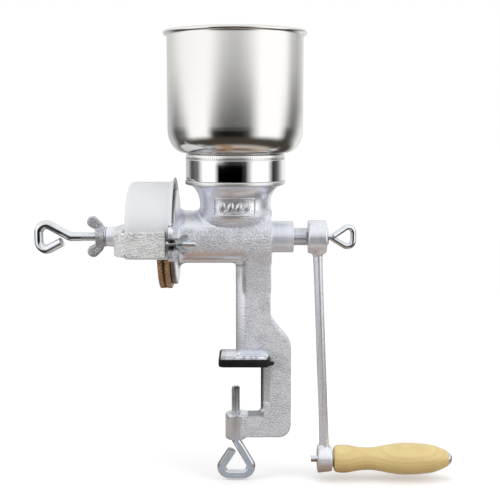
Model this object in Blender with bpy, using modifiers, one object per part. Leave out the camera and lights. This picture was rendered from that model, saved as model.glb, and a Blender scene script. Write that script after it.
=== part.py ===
"""Hand grain mill with a table clamp, modelled at its real size in metres.

The origin lies on the underside of the clamp pad, where the table top meets it, on the
common axis of the hopper and the clamp screw. +X runs along the shaft to the crank and
+Z is up. Every piece is placed from the shaft's axis, which an empty marks.
"""

import math

import bmesh
import bpy
from mathutils import Matrix, Vector

# Fits shared by all pieces
SEAT_GAP = 0.0003  # left between two pieces that touch
RUN_GAP = 0.0003  # round a turning shaft, and round a screw in its tapped hole
OVERRUN = 0.002  # how far a cutter passes the face that it cuts
EDGE = 0.0008  # small broken edge on castings and turned pieces

# Facets
BODY_STEPS = 28
BOWL_STEPS = 36
SHAFT_STEPS = 20
WASHER_STEPS = 12
PIN_STEPS = 16
SMALL_STEPS = 12
ARC_STEPS = 4
SHORT_ARC_STEPS = 2
SMOOTH_ANGLE = math.radians(35.0)

# Height of the shaft above the table seat
SHAFT_HEIGHT = 0.1335

# Widths that the casting, the guard and the yoke share
DISC_RADIUS = 0.0535  # both grinding discs
GUARD_CLEARANCE = 0.0035  # disc to the outside of the guard
GUARD_RADIUS = DISC_RADIUS + GUARD_CLEARANCE

# Barrel, disc flange and bearing boss of the casting, turned round the shaft
FLANGE_REACH = 0.0649  # flange face, from the hopper's axis
FLANGE_INSET = 0.0045  # disc past the flange
FLANGE_RADIUS = DISC_RADIUS - FLANGE_INSET
FLANGE_THICKNESS = 0.0057
FLANGE_FILLET = 0.009
BARREL_RADIUS = 0.0272
BARREL_END = 0.0366  # crank end of the barrel, from the hopper's axis
BORE_RADIUS = 0.0205
BORE_CONE = 0.007  # length over which the bore narrows to the bearing
BORE_END_WALL = 0.004
BOSS_RADIUS = 0.0163
BOSS_LENGTH = 0.0234
BOSS_FILLET = 0.0015

# Neck and hopper spigot of the casting, turned round the hopper's axis
NECK_FLANGE_RADIUS = 0.0515
NECK_FLANGE_TOP = 0.0586
NECK_FLANGE_EDGE = 0.0041
NECK_RADIUS = 0.0367
NECK_FLARE_HEIGHT = 0.0205
NECK_BOWL_TOP = 0.024
NECK_BOWL_DEPTH = 0.0103
NECK_BOWL_FLAT = 0.020
SPIGOT_HEIGHT = 0.0174
SPIGOT_CLEARANCE = 0.0004
THROAT_WALL = 0.0040
THROAT_MOUTH = 0.0165  # radius of the hole into the barrel
THROAT_MOUTH_TOP = 0.013
THROAT_FLARE_END = 110  # degrees at which the flare inside ends

# Forked ears that take the yoke bolts
BOLT_CLEARANCE = 0.007  # guard to the bolts' axes
BOLT_OFFSET = GUARD_RADIUS + BOLT_CLEARANCE  # from the shaft's axis
EAR_END = 0.010  # ear past its bolt
EAR_REACH = BOLT_OFFSET + EAR_END
EAR_SINK = 0.009  # how far the ear starts inside the flange
EAR_ROOT = FLANGE_RADIUS - EAR_SINK
EAR_HALF_HEIGHT = 0.017
EAR_THICKNESS = 0.0063
EAR_CORNER = 0.006
EAR_SLOT = 0.0086

# Column and table clamp of the casting
COLUMN_THICKNESS = 0.020
COLUMN_LEFT = 0.0002
COLUMN_TOP = 0.012  # how far below the shaft the column starts, inside the barrel
COLUMN_INNER_ROUND = 0.0092
COLUMN_OUTER_ROUND = 0.002
SHOULDER_TOP = 0.080  # below the shaft
SHOULDER_DROP = 0.036
SPINE_INNER = 0.0264
SPINE_OUTER = 0.0582
SPINE_CORNER = 0.0045
HEEL_CORNER = 0.013
CLAMP_OPENING = 0.055
JAW_HEIGHT = 0.0247
JAW_BOSS_RADIUS = 0.0112
JAW_BOSS_DROP = 0.0028

# Upper jaw plate and its rubber shoe
PAD_LEFT = 0.0177
PAD_RIGHT = 0.0354
PAD_HALF_WIDTH = 0.0245
PAD_HEIGHT = 0.0085
PAD_WALL = 0.0016
PAD_FLOOR = 0.0027
PAD_CORNER = 0.005
PLATE_PROUD = 0.0003
PLATE_ROUND = 0.0012

# Grinding discs
DISC_THICKNESS = 0.0057
GRIND_GAP = 0.0007
FACE_GROOVES = 36
GROOVE_WIDTH = 0.0026
GROOVE_DEPTH = 0.0015
GROOVE_INNER = 0.034
FEED_GROOVES = 9
FEED_WIDTH = 0.0050
FEED_DEPTH = 0.0020
GROOVE_SKEW = math.radians(12.0)
DISC_CHAMFER = 0.0006
LUG_INSET = 0.0135  # edge of the disc to the lugs' axes
LUG_OFFSET = DISC_RADIUS - LUG_INSET
LUG_RADIUS = 0.0035
LUG_LENGTH = 0.003
ROTOR_HUB_RADIUS = 0.0155
ROTOR_HUB_LENGTH = 0.0062

# Shaft, worm, drive pin and thrust ball
SHAFT_RADIUS = 0.0091
SHAFT_NOSE = 0.004  # past the hub of the rotating disc
WORM_ROOT = 0.0102
WORM_RADIUS = 0.0186
WORM_PITCH = 0.029
WORM_TURNS = 3
WORM_STEPS = 12
WORM_TIP_WIDTH = 0.0036
WORM_ROOT_WIDTH = 0.0078
WORM_SINK = 0.0012
FLAT_OFFSET = 0.0074
CRANK_CLEARANCE = 0.0150  # plain shaft between boss and crank
PIN_RADIUS = 0.0025
PIN_HALF_LENGTH = 0.0135
BALL_RADIUS = 0.004
BALL_SINK = 0.0026  # how far the ball lies in the shaft's end

# Yoke
YOKE_LUG_GAP = 0.0024  # lug to ear
YOKE_LUG_LENGTH = 0.0116
YOKE_LUG_WEB = 0.0057  # lug from the bolt's axis inwards
YOKE_LUG_INNER = BOLT_OFFSET - YOKE_LUG_WEB
YOKE_PROUD = 0.001  # yoke past the ears
YOKE_OUTER = EAR_REACH + YOKE_PROUD
YOKE_ARM_THICKNESS = 0.0052
YOKE_BAR = 0.0082
YOKE_GUARD_GAP = 0.0008
YOKE_CORNER = 0.016
YOKE_HALF_HEIGHT = 0.0133
YOKE_BAR_HALF_HEIGHT = 0.0113
YOKE_TAPER = 0.026
YOKE_BOSS_LENGTH = 0.0155
YOKE_BOSS_RADIUS = 0.0110
YOKE_BOSS_TIP = 0.0099
YOKE_BOSS_FILLET = 0.0030

# Yoke bolts and their wing nuts
BOLT_RADIUS = 0.003
BOLT_HOLE_GAP = 0.0003
BOLT_LENGTH = 0.0415
BOLT_HEAD = 0.010
BOLT_HEAD_HEIGHT = 0.0048
NUT_LEAN = math.radians(58.0)  # how far the small wing nuts are turned from upright

# Flour guard
GUARD_WALL = 0.0015
GUARD_LIP = 0.0045
GUARD_LENGTH = 0.0476
GUARD_OVERLAP = 0.0035  # how far the guard reaches past the flange face
GUARD_CORNER = 0.0062
GUARD_SKIRT = 0.0167  # lower edge, below the shaft
GUARD_SLOT_HALF = 0.0150

# Screws with bent-wire eyes
ROD_RADIUS = 0.0048
WIRE_STEP = math.radians(24.0)
CLAMP_SCREW_TIP = 0.0255  # below the pad
CLAMP_EYE_START = 0.0016  # from the boss to the first bend
CLAMP_EYE_LENGTH = 0.0386
CLAMP_EYE_RIGHT = 0.0222
CLAMP_EYE_LEFT = 0.0215
CLAMP_EYE_END = 0.0098
CLAMP_EYE_END_SIDE = 0.0042
CLAMP_EYE_CORNER = 0.0085
CLAMP_EYE_LIFT = 0.0062
ADJUST_EYE_START = 0.0266  # from the lock nut to the first bend
ADJUST_EYE_LENGTH = 0.0328
ADJUST_EYE_RIGHT = 0.0180
ADJUST_EYE_LEFT = 0.0180
ADJUST_EYE_END = 0.0078
ADJUST_EYE_END_SIDE = 0.0048
ADJUST_EYE_CORNER = 0.0080
ADJUST_EYE_LIFT = 0.0060
CRANK_ROD_RADIUS = 0.0031
CRANK_EYE_START = 0.0012
CRANK_EYE_LENGTH = 0.0246
CRANK_EYE_SIDE = 0.0150
CRANK_EYE_END = 0.0032
CRANK_EYE_END_SIDE = 0.0012
CRANK_EYE_CORNER = 0.0062
CRANK_EYE_LIFT = 0.0066
CRANK_SCREW_DEPTH = 0.0145
BEND_RADIUS = 0.010

# Lock nut and its washer
LOCK_WASHER_RADIUS = 0.0105
LOCK_WASHER_THICKNESS = 0.0012

# Hopper
COLLAR_RADIUS = 0.0510
COLLAR_WALL = 0.0009
COLLAR_TOP = 0.0859  # above the shaft
COLLAR_ROUND = 0.0022
BOWL_RADIUS = 0.0692
BOWL_WALL = 0.0009
BOWL_RIM_TOP = 0.2090
BOWL_BEAD = 0.00225
BOWL_BEAD_TUCK = 0.0036  # from the bead's centre down to the straight wall
BOWL_FLOOR_RADIUS = 0.0508
BOWL_CURVE_TOP = 0.1105
BOWL_OUTLET = 0.0440

# Crank
HUB_RADIUS = 0.0172
HUB_LENGTH = 0.0194
HUB_END_WALL = 0.0031
HUB_ROUND = 0.0014
CRANK_THROW = 0.2393
CRANK_SPLAY = 0.0102  # how far the arm leans away from the body
ARM_HALF_WIDTH = 0.0050
ARM_HALF_DEPTH = 0.0076
ARM_STEPS = 10
HANDLE_BOSS_RADIUS = 0.0150
HANDLE_BOSS_TIP = 0.0128
HANDLE_BOSS_LENGTH = 0.0157
CRANK_WASHER_RADIUS = 0.0084
CRANK_WASHER_THICKNESS = 0.0018
HOLE_GAP = 0.0004

# Handle
GRIP_LENGTH = 0.1220
GRIP_RADIUS = 0.0168
HANDLE_BOLT_RADIUS = 0.0034
HANDLE_BOLT_TIP = 0.0068  # how far the bolt passes the boss
HANDLE_SLOT_WIDTH = 0.0014
HANDLE_SLOT_DEPTH = 0.0040
CAP_RADIUS = 0.0068
CAP_HEIGHT = 0.0043
HANDLE_WASHER_RADIUS = 0.0085
HANDLE_WASHER_THICKNESS = 0.0011

# Outline of the grip: shares of its length and of its largest radius
GRIP_PROFILE_SHARES = (
    (0.000, 0.66),
    (0.010, 0.78),
    (0.040, 0.865),
    (0.110, 0.870),
    (0.170, 0.800),
    (0.245, 0.722),
    (0.325, 0.710),
    (0.405, 0.785),
    (0.490, 0.905),
    (0.570, 0.980),
    (0.645, 1.000),
    (0.760, 0.960),
    (0.860, 0.870),
    (0.925, 0.720),
    (0.975, 0.560),
    (1.000, 0.470),
)

# Bow of the crank arm: shares of its length, and of its depth and width there
ARM_SHARES = (
    (0.035, 1.20, 1.12),
    (0.090, 1.06, 1.04),
    (0.220, 0.98, 0.98),
    (0.480, 0.92, 0.95),
    (0.740, 0.94, 1.00),
    (0.880, 1.00, 1.06),
    (0.950, 1.10, 1.16),
)

# Places along the shaft, left to right, from the sizes above
BOSS_END = BARREL_END + BOSS_LENGTH
EAR_LEFT = -FLANGE_REACH + SEAT_GAP
EAR_RIGHT = EAR_LEFT + EAR_THICKNESS
FIXED_BACK = -FLANGE_REACH - SEAT_GAP
FIXED_FACE = FIXED_BACK - DISC_THICKNESS
ROTOR_FACE = FIXED_FACE - GRIND_GAP
ROTOR_BACK = ROTOR_FACE - DISC_THICKNESS
ROTOR_HUB_END = ROTOR_BACK - ROTOR_HUB_LENGTH
SHAFT_LEFT = ROTOR_HUB_END - SHAFT_NOSE
BALL_CENTRE = SHAFT_LEFT - BALL_RADIUS + BALL_SINK
ADJUST_TIP = BALL_CENTRE - BALL_RADIUS - SEAT_GAP
GUARD_OPEN = -FLANGE_REACH + GUARD_OVERLAP
GUARD_END = GUARD_OPEN - GUARD_LENGTH
YOKE_BAR_INNER = GUARD_END - YOKE_GUARD_GAP
YOKE_BAR_OUTER = YOKE_BAR_INNER - YOKE_BAR
YOKE_BOSS_FACE = YOKE_BAR_OUTER - YOKE_BOSS_LENGTH
LOCK_WASHER_RIGHT = YOKE_BOSS_FACE - SEAT_GAP
LOCK_NUT_SEAT = LOCK_WASHER_RIGHT - LOCK_WASHER_THICKNESS - SEAT_GAP
YOKE_LUG_RIGHT = EAR_LEFT - YOKE_LUG_GAP
YOKE_LUG_LEFT = YOKE_LUG_RIGHT - YOKE_LUG_LENGTH
HUB_LEFT = BOSS_END + CRANK_CLEARANCE
HUB_RIGHT = HUB_LEFT + HUB_LENGTH
SHAFT_RIGHT = HUB_RIGHT - HUB_END_WALL - SEAT_GAP
CRANK_WASHER_LEFT = HUB_RIGHT + SEAT_GAP
CRANK_WASHER_RIGHT = CRANK_WASHER_LEFT + CRANK_WASHER_THICKNESS
HANDLE_BOSS_CENTRE = HUB_LEFT + HUB_LENGTH / 2 + CRANK_SPLAY
HANDLE_BOSS_LEFT = HANDLE_BOSS_CENTRE - HANDLE_BOSS_LENGTH / 2
HANDLE_BOSS_RIGHT = HANDLE_BOSS_CENTRE + HANDLE_BOSS_LENGTH / 2
HANDLE_WASHER_LEFT = HANDLE_BOSS_RIGHT + SEAT_GAP
GRIP_LEFT = HANDLE_WASHER_LEFT + HANDLE_WASHER_THICKNESS + SEAT_GAP
GRIP_RIGHT = GRIP_LEFT + GRIP_LENGTH

# Heights above the shaft
PLATE_TOP = PAD_HEIGHT - SHAFT_HEIGHT + PLATE_PROUD
PLATE_BOTTOM = PAD_FLOOR + SEAT_GAP - SHAFT_HEIGHT
JAW_TOP = -SHAFT_HEIGHT - CLAMP_OPENING
JAW_BOTTOM = JAW_TOP - JAW_HEIGHT
JAW_BOSS_BOTTOM = JAW_BOTTOM - JAW_BOSS_DROP
SPIGOT_RADIUS = COLLAR_RADIUS - COLLAR_WALL - SPIGOT_CLEARANCE
SPIGOT_TOP = NECK_FLANGE_TOP + SPIGOT_HEIGHT
COLLAR_BOTTOM = NECK_FLANGE_TOP + SEAT_GAP
BOWL_FLOOR = COLLAR_TOP + SEAT_GAP

# How an outline in a curve's own plane is turned to lie in a plane of the mill
PLANES = {
    "XY": (0.0, 0.0, 0.0),
    "XZ": (math.pi / 2, 0.0, 0.0),
    "YZ": (math.pi / 2, 0.0, math.pi / 2),
}
ALONG_X = (0.0, math.pi / 2, 0.0)
UPRIGHT = (0.0, 0.0, 0.0)


def clear_scene():
    """Remove every object of the scene that the script starts in."""
    for obj in list(bpy.data.objects):
        bpy.data.objects.remove(obj, do_unlink=True)


def new_collection(name):
    """Return a new collection linked to the scene."""
    collection = bpy.data.collections.new(name)
    bpy.context.scene.collection.children.link(collection)
    return collection


def material(name, colour, roughness, metallic):
    """Return a Principled material with its own colour, roughness and metallic value."""
    finish = bpy.data.materials.new(name)
    finish.use_nodes = True
    shader = finish.node_tree.nodes["Principled BSDF"]
    shader.inputs["Base Color"].default_value = (*colour, 1.0)
    shader.inputs["Roughness"].default_value = roughness
    shader.inputs["Metallic"].default_value = metallic
    finish.diffuse_color = (*colour, 1.0)
    return finish


def place(obj, location=(0.0, 0.0, 0.0), rotation=UPRIGHT, parent=None):
    """Put the object at a place and turn that are given from the shaft's empty."""
    obj.parent = parent or shaft_line
    obj.location = location
    obj.rotation_euler = rotation
    return obj


def as_mesh(obj, weld=0.00001):
    """Replace a curve, or a mesh and its modifiers, by the plain mesh that it makes."""
    bpy.context.view_layer.update()
    depsgraph = bpy.context.evaluated_depsgraph_get()
    mesh = bpy.data.meshes.new_from_object(obj.evaluated_get(depsgraph), depsgraph=depsgraph)
    bm = bmesh.new()
    bm.from_mesh(mesh)
    bmesh.ops.remove_doubles(bm, verts=bm.verts, dist=weld)
    bm.to_mesh(mesh)
    bm.free()
    name, parent = obj.name, obj.parent
    place_and_turn = obj.matrix_basis.copy()
    owner = obj.users_collection[0]
    bpy.data.objects.remove(obj, do_unlink=True)
    plain = bpy.data.objects.new(name, mesh)
    owner.objects.link(plain)
    plain.parent = parent
    plain.matrix_basis = place_and_turn
    return plain


def turned(name, outer, inner=(), steps=BODY_STEPS, rotation=ALONG_X, location=(0.0, 0.0, 0.0)):
    """Return a turned solid.

    outer lists (place along the axis, radius) from the low end to the high end. inner is the
    bore's side, from the high end back to the low end. Without it the solid is full.
    """
    points = list(outer) + list(inner)
    bm = bmesh.new()
    verts = [bm.verts.new((radius, 0.0, along)) for along, radius in reversed(points)]
    for first, second in zip(verts, verts[1:]):
        bm.edges.new((first, second))
    if inner:
        bm.edges.new((verts[-1], verts[0]))
    mesh = bpy.data.meshes.new(name)
    bm.to_mesh(mesh)
    bm.free()
    obj = bpy.data.objects.new(name, mesh)
    mill.objects.link(obj)
    screw = obj.modifiers.new("turn", "SCREW")
    screw.axis = "Z"
    screw.steps = steps
    screw.render_steps = steps
    screw.use_merge_vertices = True
    screw.merge_threshold = 0.00001
    place(obj, location, rotation)
    return as_mesh(obj)


def plate(name, outline, thickness, plane, location=(0.0, 0.0, 0.0)):
    """Return a flat plate of the outline, centred on its plane."""
    curve = bpy.data.curves.new(name, "CURVE")
    curve.dimensions = "2D"
    curve.fill_mode = "BOTH"
    curve.extrude = thickness / 2
    spline = curve.splines.new("POLY")
    spline.points.add(len(outline) - 1)
    for point, (across, up) in zip(spline.points, outline):
        point.co = (across, up, 0.0, 1.0)
    spline.use_cyclic_u = True
    obj = bpy.data.objects.new(name, curve)
    mill.objects.link(obj)
    place(obj, location, PLANES[plane])
    obj = as_mesh(obj)
    bm = bmesh.new()
    bm.from_mesh(obj.data)
    bmesh.ops.dissolve_limit(bm, angle_limit=math.radians(0.5), verts=bm.verts, edges=bm.edges)
    bmesh.ops.recalc_face_normals(bm, faces=bm.faces)
    bm.to_mesh(obj.data)
    bm.free()
    return obj


def block(name, low, high, location=(0.0, 0.0, 0.0)):
    """Return a box between two corners."""
    bm = bmesh.new()
    bmesh.ops.create_cube(bm, size=1.0)
    size = Vector(high) - Vector(low)
    centre = (Vector(high) + Vector(low)) / 2
    bmesh.ops.scale(bm, vec=size, verts=bm.verts)
    bmesh.ops.translate(bm, vec=centre, verts=bm.verts)
    mesh = bpy.data.meshes.new(name)
    bm.to_mesh(mesh)
    bm.free()
    obj = bpy.data.objects.new(name, mesh)
    mill.objects.link(obj)
    return place(obj, location)


def rod(name, start, end, radius, steps=PIN_STEPS, rotation=ALONG_X, location=(0.0, 0.0, 0.0)):
    """Return a plain cylinder from start to end along its axis."""
    return turned(name, [(start, 0.0), (start, radius), (end, radius), (end, 0.0)], steps=steps,
                  rotation=rotation, location=location)


def combine(target, tool, operation):
    """Join the tool to the target, cut it away, or keep what both share."""
    change = target.modifiers.new(f"{operation.lower()} {tool.name}", "BOOLEAN")
    change.object = tool
    change.operation = operation
    for owner in tool.users_collection:
        owner.objects.unlink(tool)
    cutters.objects.link(tool)
    tool.hide_render = True
    tool.display_type = "WIRE"


def join(target, *tools):
    """Add each tool to the target."""
    for tool in tools:
        combine(target, tool, "UNION")


def cut(target, *tools):
    """Take each tool out of the target."""
    for tool in tools:
        combine(target, tool, "DIFFERENCE")


def round_edges(obj, width, segments=2, angle=math.radians(40.0)):
    """Round the sharp edges of the object."""
    bevel = obj.modifiers.new("round", "BEVEL")
    bevel.width = width
    bevel.segments = segments
    bevel.limit_method = "ANGLE"
    bevel.angle_limit = angle
    return obj


def finish_piece(obj, finish):
    """Settle the modifiers, shade the round faces smooth and give the piece its material."""
    obj = as_mesh(obj)
    obj.data.materials.clear()
    obj.data.materials.append(finish)
    obj.data.shade_smooth()
    obj.data.set_sharp_from_angle(angle=SMOOTH_ANGLE)
    return obj


def arc(centre, radii, start, end, steps=ARC_STEPS):
    """Return points of an ellipse arc round centre, from one angle to the other in degrees."""
    points = []
    for index in range(steps + 1):
        angle = math.radians(start + (end - start) * index / steps)
        points.append((centre[0] + radii[0] * math.cos(angle), centre[1] + radii[1] * math.sin(angle)))
    return points


def rounded_box(left, right, low, high, radius, steps=3):
    """Return the outline of a rectangle with round corners."""
    corners = ((right, high, 0), (left, high, 90), (left, low, 180), (right, low, 270))
    outline = []
    for across, up, turn in corners:
        inward = (-radius if across == right else radius, -radius if up == high else radius)
        outline += arc((across + inward[0], up + inward[1]), (radius, radius), turn, turn + 90, steps)
    return outline


def capsule(first, first_radius, second, second_radius, steps=ARC_STEPS):
    """Return the outline round two circles of unlike radius."""
    lean = math.degrees(math.atan2(second[1] - first[1], second[0] - first[0]))
    outline = arc(second, (second_radius, second_radius), lean - 90, lean + 90, steps)
    return outline + arc(first, (first_radius, first_radius), lean + 90, lean + 270, steps)


def rounded_route(corners, radii):
    """Return a route of straight runs through the corners, with each inner corner rounded."""
    route = [Vector(corners[0])]
    for before, corner, after, radius in zip(corners, corners[1:], corners[2:], radii):
        back = (Vector(before) - Vector(corner)).normalized()
        onward = (Vector(after) - Vector(corner)).normalized()
        half = back.angle(onward) / 2
        centre = Vector(corner) + (back + onward).normalized() * (radius / math.sin(half))
        start = Vector(corner) + back * (radius / math.tan(half)) - centre
        end = Vector(corner) + onward * (radius / math.tan(half)) - centre
        sweep = start.angle(end)
        steps = max(2, math.ceil(sweep / WIRE_STEP))
        axis = start.cross(end).normalized()
        for index in range(steps + 1):
            route.append(centre + Matrix.Rotation(sweep * index / steps, 3, axis) @ start)
    route.append(Vector(corners[-1]))
    return route


def wire(name, route, radius, sides_level):
    """Return a closed solid rod that follows the route."""
    curve = bpy.data.curves.new(name, "CURVE")
    curve.dimensions = "3D"
    curve.bevel_depth = radius
    curve.bevel_resolution = sides_level
    curve.use_fill_caps = True
    spline = curve.splines.new("POLY")
    spline.points.add(len(route) - 1)
    for point, spot in zip(spline.points, route):
        point.co = (*spot, 1.0)
    obj = bpy.data.objects.new(name, curve)
    mill.objects.link(obj)
    place(obj)
    return as_mesh(obj)


def eye_route(tip, bend, outward, side, lift, sizes):
    """Return the route of a rod that ends in a bent eye.

    tip and bend lie on the screw's axis, outward points along it to the eye, side lies across
    the eye and lift is normal to it. sizes are length, right, left, end, end_side, corner and
    end_lift of the eye.
    """
    length, right, left, end, end_side, corner, end_lift = sizes
    spots = (
        tip,
        bend,
        bend + outward * length + side * right,
        bend + outward * length - side * left,
        bend + outward * end - side * end_side + lift * end_lift,
    )
    return rounded_route(spots, (BEND_RADIUS, corner, corner))


def shoulder():
    """Return the S-curve where the column widens into the spine of the clamp."""
    points = []
    steps = 8
    for index in range(steps + 1):
        share = index / steps
        ease = share * share * (3 - 2 * share)
        across = BARREL_END + (SPINE_OUTER - BARREL_END) * ease
        points.append((across, -SHOULDER_TOP - SHOULDER_DROP * share))
    return points


def make_column():
    """Return the column and the C of the clamp, with its inner edges fully rounded."""
    corner = (SPINE_INNER - SPINE_CORNER, JAW_TOP + SPINE_CORNER)
    inner_corner = arc(corner, (SPINE_CORNER, SPINE_CORNER), 0, -90)
    heel = arc((SPINE_OUTER - HEEL_CORNER, JAW_BOTTOM + HEEL_CORNER), (HEEL_CORNER, HEEL_CORNER), -90, 0)
    plate_middle = (PLATE_TOP + PLATE_BOTTOM) / 2
    inner = [(COLUMN_LEFT, -COLUMN_TOP), (COLUMN_LEFT, plate_middle), (SPINE_INNER, plate_middle)]
    outline = inner + inner_corner + [(0.0, JAW_TOP), (0.0, JAW_BOTTOM)] + heel
    outline += list(reversed(shoulder())) + [(BARREL_END, -COLUMN_TOP)]
    column = plate("column", outline, COLUMN_THICKNESS, "XZ")
    weights = column.data.attributes.new("bevel_weight_edge", "FLOAT", "EDGE")
    half = COLUMN_THICKNESS / 2
    for edge in column.data.edges:
        ends = [column.data.vertices[index].co for index in edge.vertices]
        if min(abs(abs(end.z) - half) for end in ends) > SEAT_GAP or abs(ends[0].z - ends[1].z) > half:
            continue
        middle = (ends[0] + ends[1]) / 2
        in_plate = abs(middle.y - plate_middle) < SEAT_GAP
        in_jaw = middle.x < SEAT_GAP / 2 or middle.y > -COLUMN_TOP - SEAT_GAP
        on_left = middle.x < SPINE_INNER + SEAT_GAP and middle.y > JAW_TOP - SEAT_GAP
        if in_plate or in_jaw:
            weights.data[edge.index].value = 0.0
        elif on_left:
            weights.data[edge.index].value = 1.0
        else:
            weights.data[edge.index].value = COLUMN_OUTER_ROUND / COLUMN_INNER_ROUND
    bevel = column.modifiers.new("casting edges", "BEVEL")
    bevel.limit_method = "WEIGHT"
    bevel.width = COLUMN_INNER_ROUND
    bevel.segments = 3
    bevel.use_clamp_overlap = False
    return as_mesh(column)


def make_body_core():
    """Return barrel, disc flange and bearing boss as one turned solid."""
    fillet_centre = (-FLANGE_REACH + FLANGE_THICKNESS + FLANGE_FILLET, BARREL_RADIUS + FLANGE_FILLET)
    boss_corner = (BARREL_END + BOSS_FILLET, BOSS_RADIUS + BOSS_FILLET)
    outer = [
        (-FLANGE_REACH, 0.0),
        (-FLANGE_REACH, FLANGE_RADIUS - EDGE),
        (-FLANGE_REACH + EDGE, FLANGE_RADIUS),
        (-FLANGE_REACH + FLANGE_THICKNESS - EDGE, FLANGE_RADIUS),
        (-FLANGE_REACH + FLANGE_THICKNESS, FLANGE_RADIUS - EDGE),
    ]
    outer += arc(fillet_centre, (FLANGE_FILLET, FLANGE_FILLET), 180, 270)
    outer += [(BARREL_END - EDGE, BARREL_RADIUS), (BARREL_END, BARREL_RADIUS - EDGE)]
    outer += arc(boss_corner, (BOSS_FILLET, BOSS_FILLET), 180, 270, SHORT_ARC_STEPS)
    outer += [(BOSS_END - EDGE, BOSS_RADIUS), (BOSS_END, BOSS_RADIUS - EDGE), (BOSS_END, 0.0)]
    return turned("mill_body", outer)


def make_neck():
    """Return the flared neck with the spigot of the hopper, still full inside."""
    flare_foot = NECK_FLANGE_TOP - NECK_FLANGE_EDGE - NECK_FLARE_HEIGHT
    flare = arc((NECK_FLANGE_RADIUS - EDGE, flare_foot),
                (NECK_FLANGE_RADIUS - EDGE - NECK_RADIUS, NECK_FLARE_HEIGHT), 180, 90)
    bowl = arc((NECK_BOWL_FLAT, NECK_BOWL_TOP), (NECK_RADIUS - NECK_BOWL_FLAT, NECK_BOWL_DEPTH), -90, 0)
    outer = [(NECK_BOWL_TOP - NECK_BOWL_DEPTH, 0.0)]
    outer += [(up, radius) for radius, up in bowl]
    outer += [(up, radius) for radius, up in flare]
    outer += [
        (NECK_FLANGE_TOP - NECK_FLANGE_EDGE + EDGE, NECK_FLANGE_RADIUS),
        (NECK_FLANGE_TOP - EDGE, NECK_FLANGE_RADIUS),
        (NECK_FLANGE_TOP, NECK_FLANGE_RADIUS - EDGE),
        (NECK_FLANGE_TOP, SPIGOT_RADIUS),
        (SPIGOT_TOP - EDGE, SPIGOT_RADIUS),
        (SPIGOT_TOP, SPIGOT_RADIUS - EDGE),
        (SPIGOT_TOP, 0.0),
    ]
    return turned("neck", outer, rotation=UPRIGHT)


def make_throat():
    """Return the cutter that opens the spigot and the neck down to the worm."""
    mouth = SPIGOT_RADIUS - THROAT_WALL
    flare_foot = NECK_FLANGE_TOP - NECK_FLANGE_EDGE - NECK_FLARE_HEIGHT
    flare_width = NECK_FLANGE_RADIUS - EDGE - NECK_RADIUS + THROAT_WALL
    flare = arc((NECK_FLANGE_RADIUS - EDGE, flare_foot),
                (flare_width, NECK_FLARE_HEIGHT + THROAT_WALL), 180, THROAT_FLARE_END)
    outer = [
        (0.0, 0.0),
        (0.0, THROAT_MOUTH),
        (THROAT_MOUTH_TOP, THROAT_MOUTH),
        (NECK_BOWL_TOP + OVERRUN, NECK_RADIUS - THROAT_WALL),
        *[(up, radius) for radius, up in flare],
        (NECK_FLANGE_TOP, mouth),
        (SPIGOT_TOP + OVERRUN, mouth),
        (SPIGOT_TOP + OVERRUN, 0.0),
    ]
    return turned("throat", outer, rotation=UPRIGHT)


def make_bore():
    """Return the cutter for the worm's bore and the bearing of the shaft."""
    bearing = SHAFT_RADIUS + RUN_GAP
    outer = [
        (-FLANGE_REACH - OVERRUN, 0.0),
        (-FLANGE_REACH - OVERRUN, BORE_RADIUS),
        (BARREL_END - BORE_END_WALL - BORE_CONE, BORE_RADIUS),
        (BARREL_END - BORE_END_WALL, bearing),
        (BOSS_END + OVERRUN, bearing),
        (BOSS_END + OVERRUN, 0.0),
    ]
    return turned("bore", outer)


def make_ear(name, side):
    """Return one forked ear, open to the outside for its bolt."""
    far = side * EAR_REACH
    near = side * EAR_ROOT
    outline = rounded_box(min(near, far), max(near, far), -EAR_HALF_HEIGHT, EAR_HALF_HEIGHT, EAR_CORNER)
    middle = (EAR_LEFT + EAR_RIGHT) / 2
    return plate(name, outline, EAR_THICKNESS, "YZ", (middle, 0.0, 0.0))


def make_ear_slot(name, side):
    """Return the cutter of an ear's slot, round at its closed end."""
    half = EAR_SLOT / 2
    closed_end = arc((side * BOLT_OFFSET, 0.0), (-side * half, half), -90, 90)
    outline = closed_end + [(side * (EAR_REACH + OVERRUN), half), (side * (EAR_REACH + OVERRUN), -half)]
    middle = (EAR_LEFT + EAR_RIGHT) / 2
    return plate(name, outline, EAR_THICKNESS + OVERRUN, "YZ", (middle, 0.0, 0.0))


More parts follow.
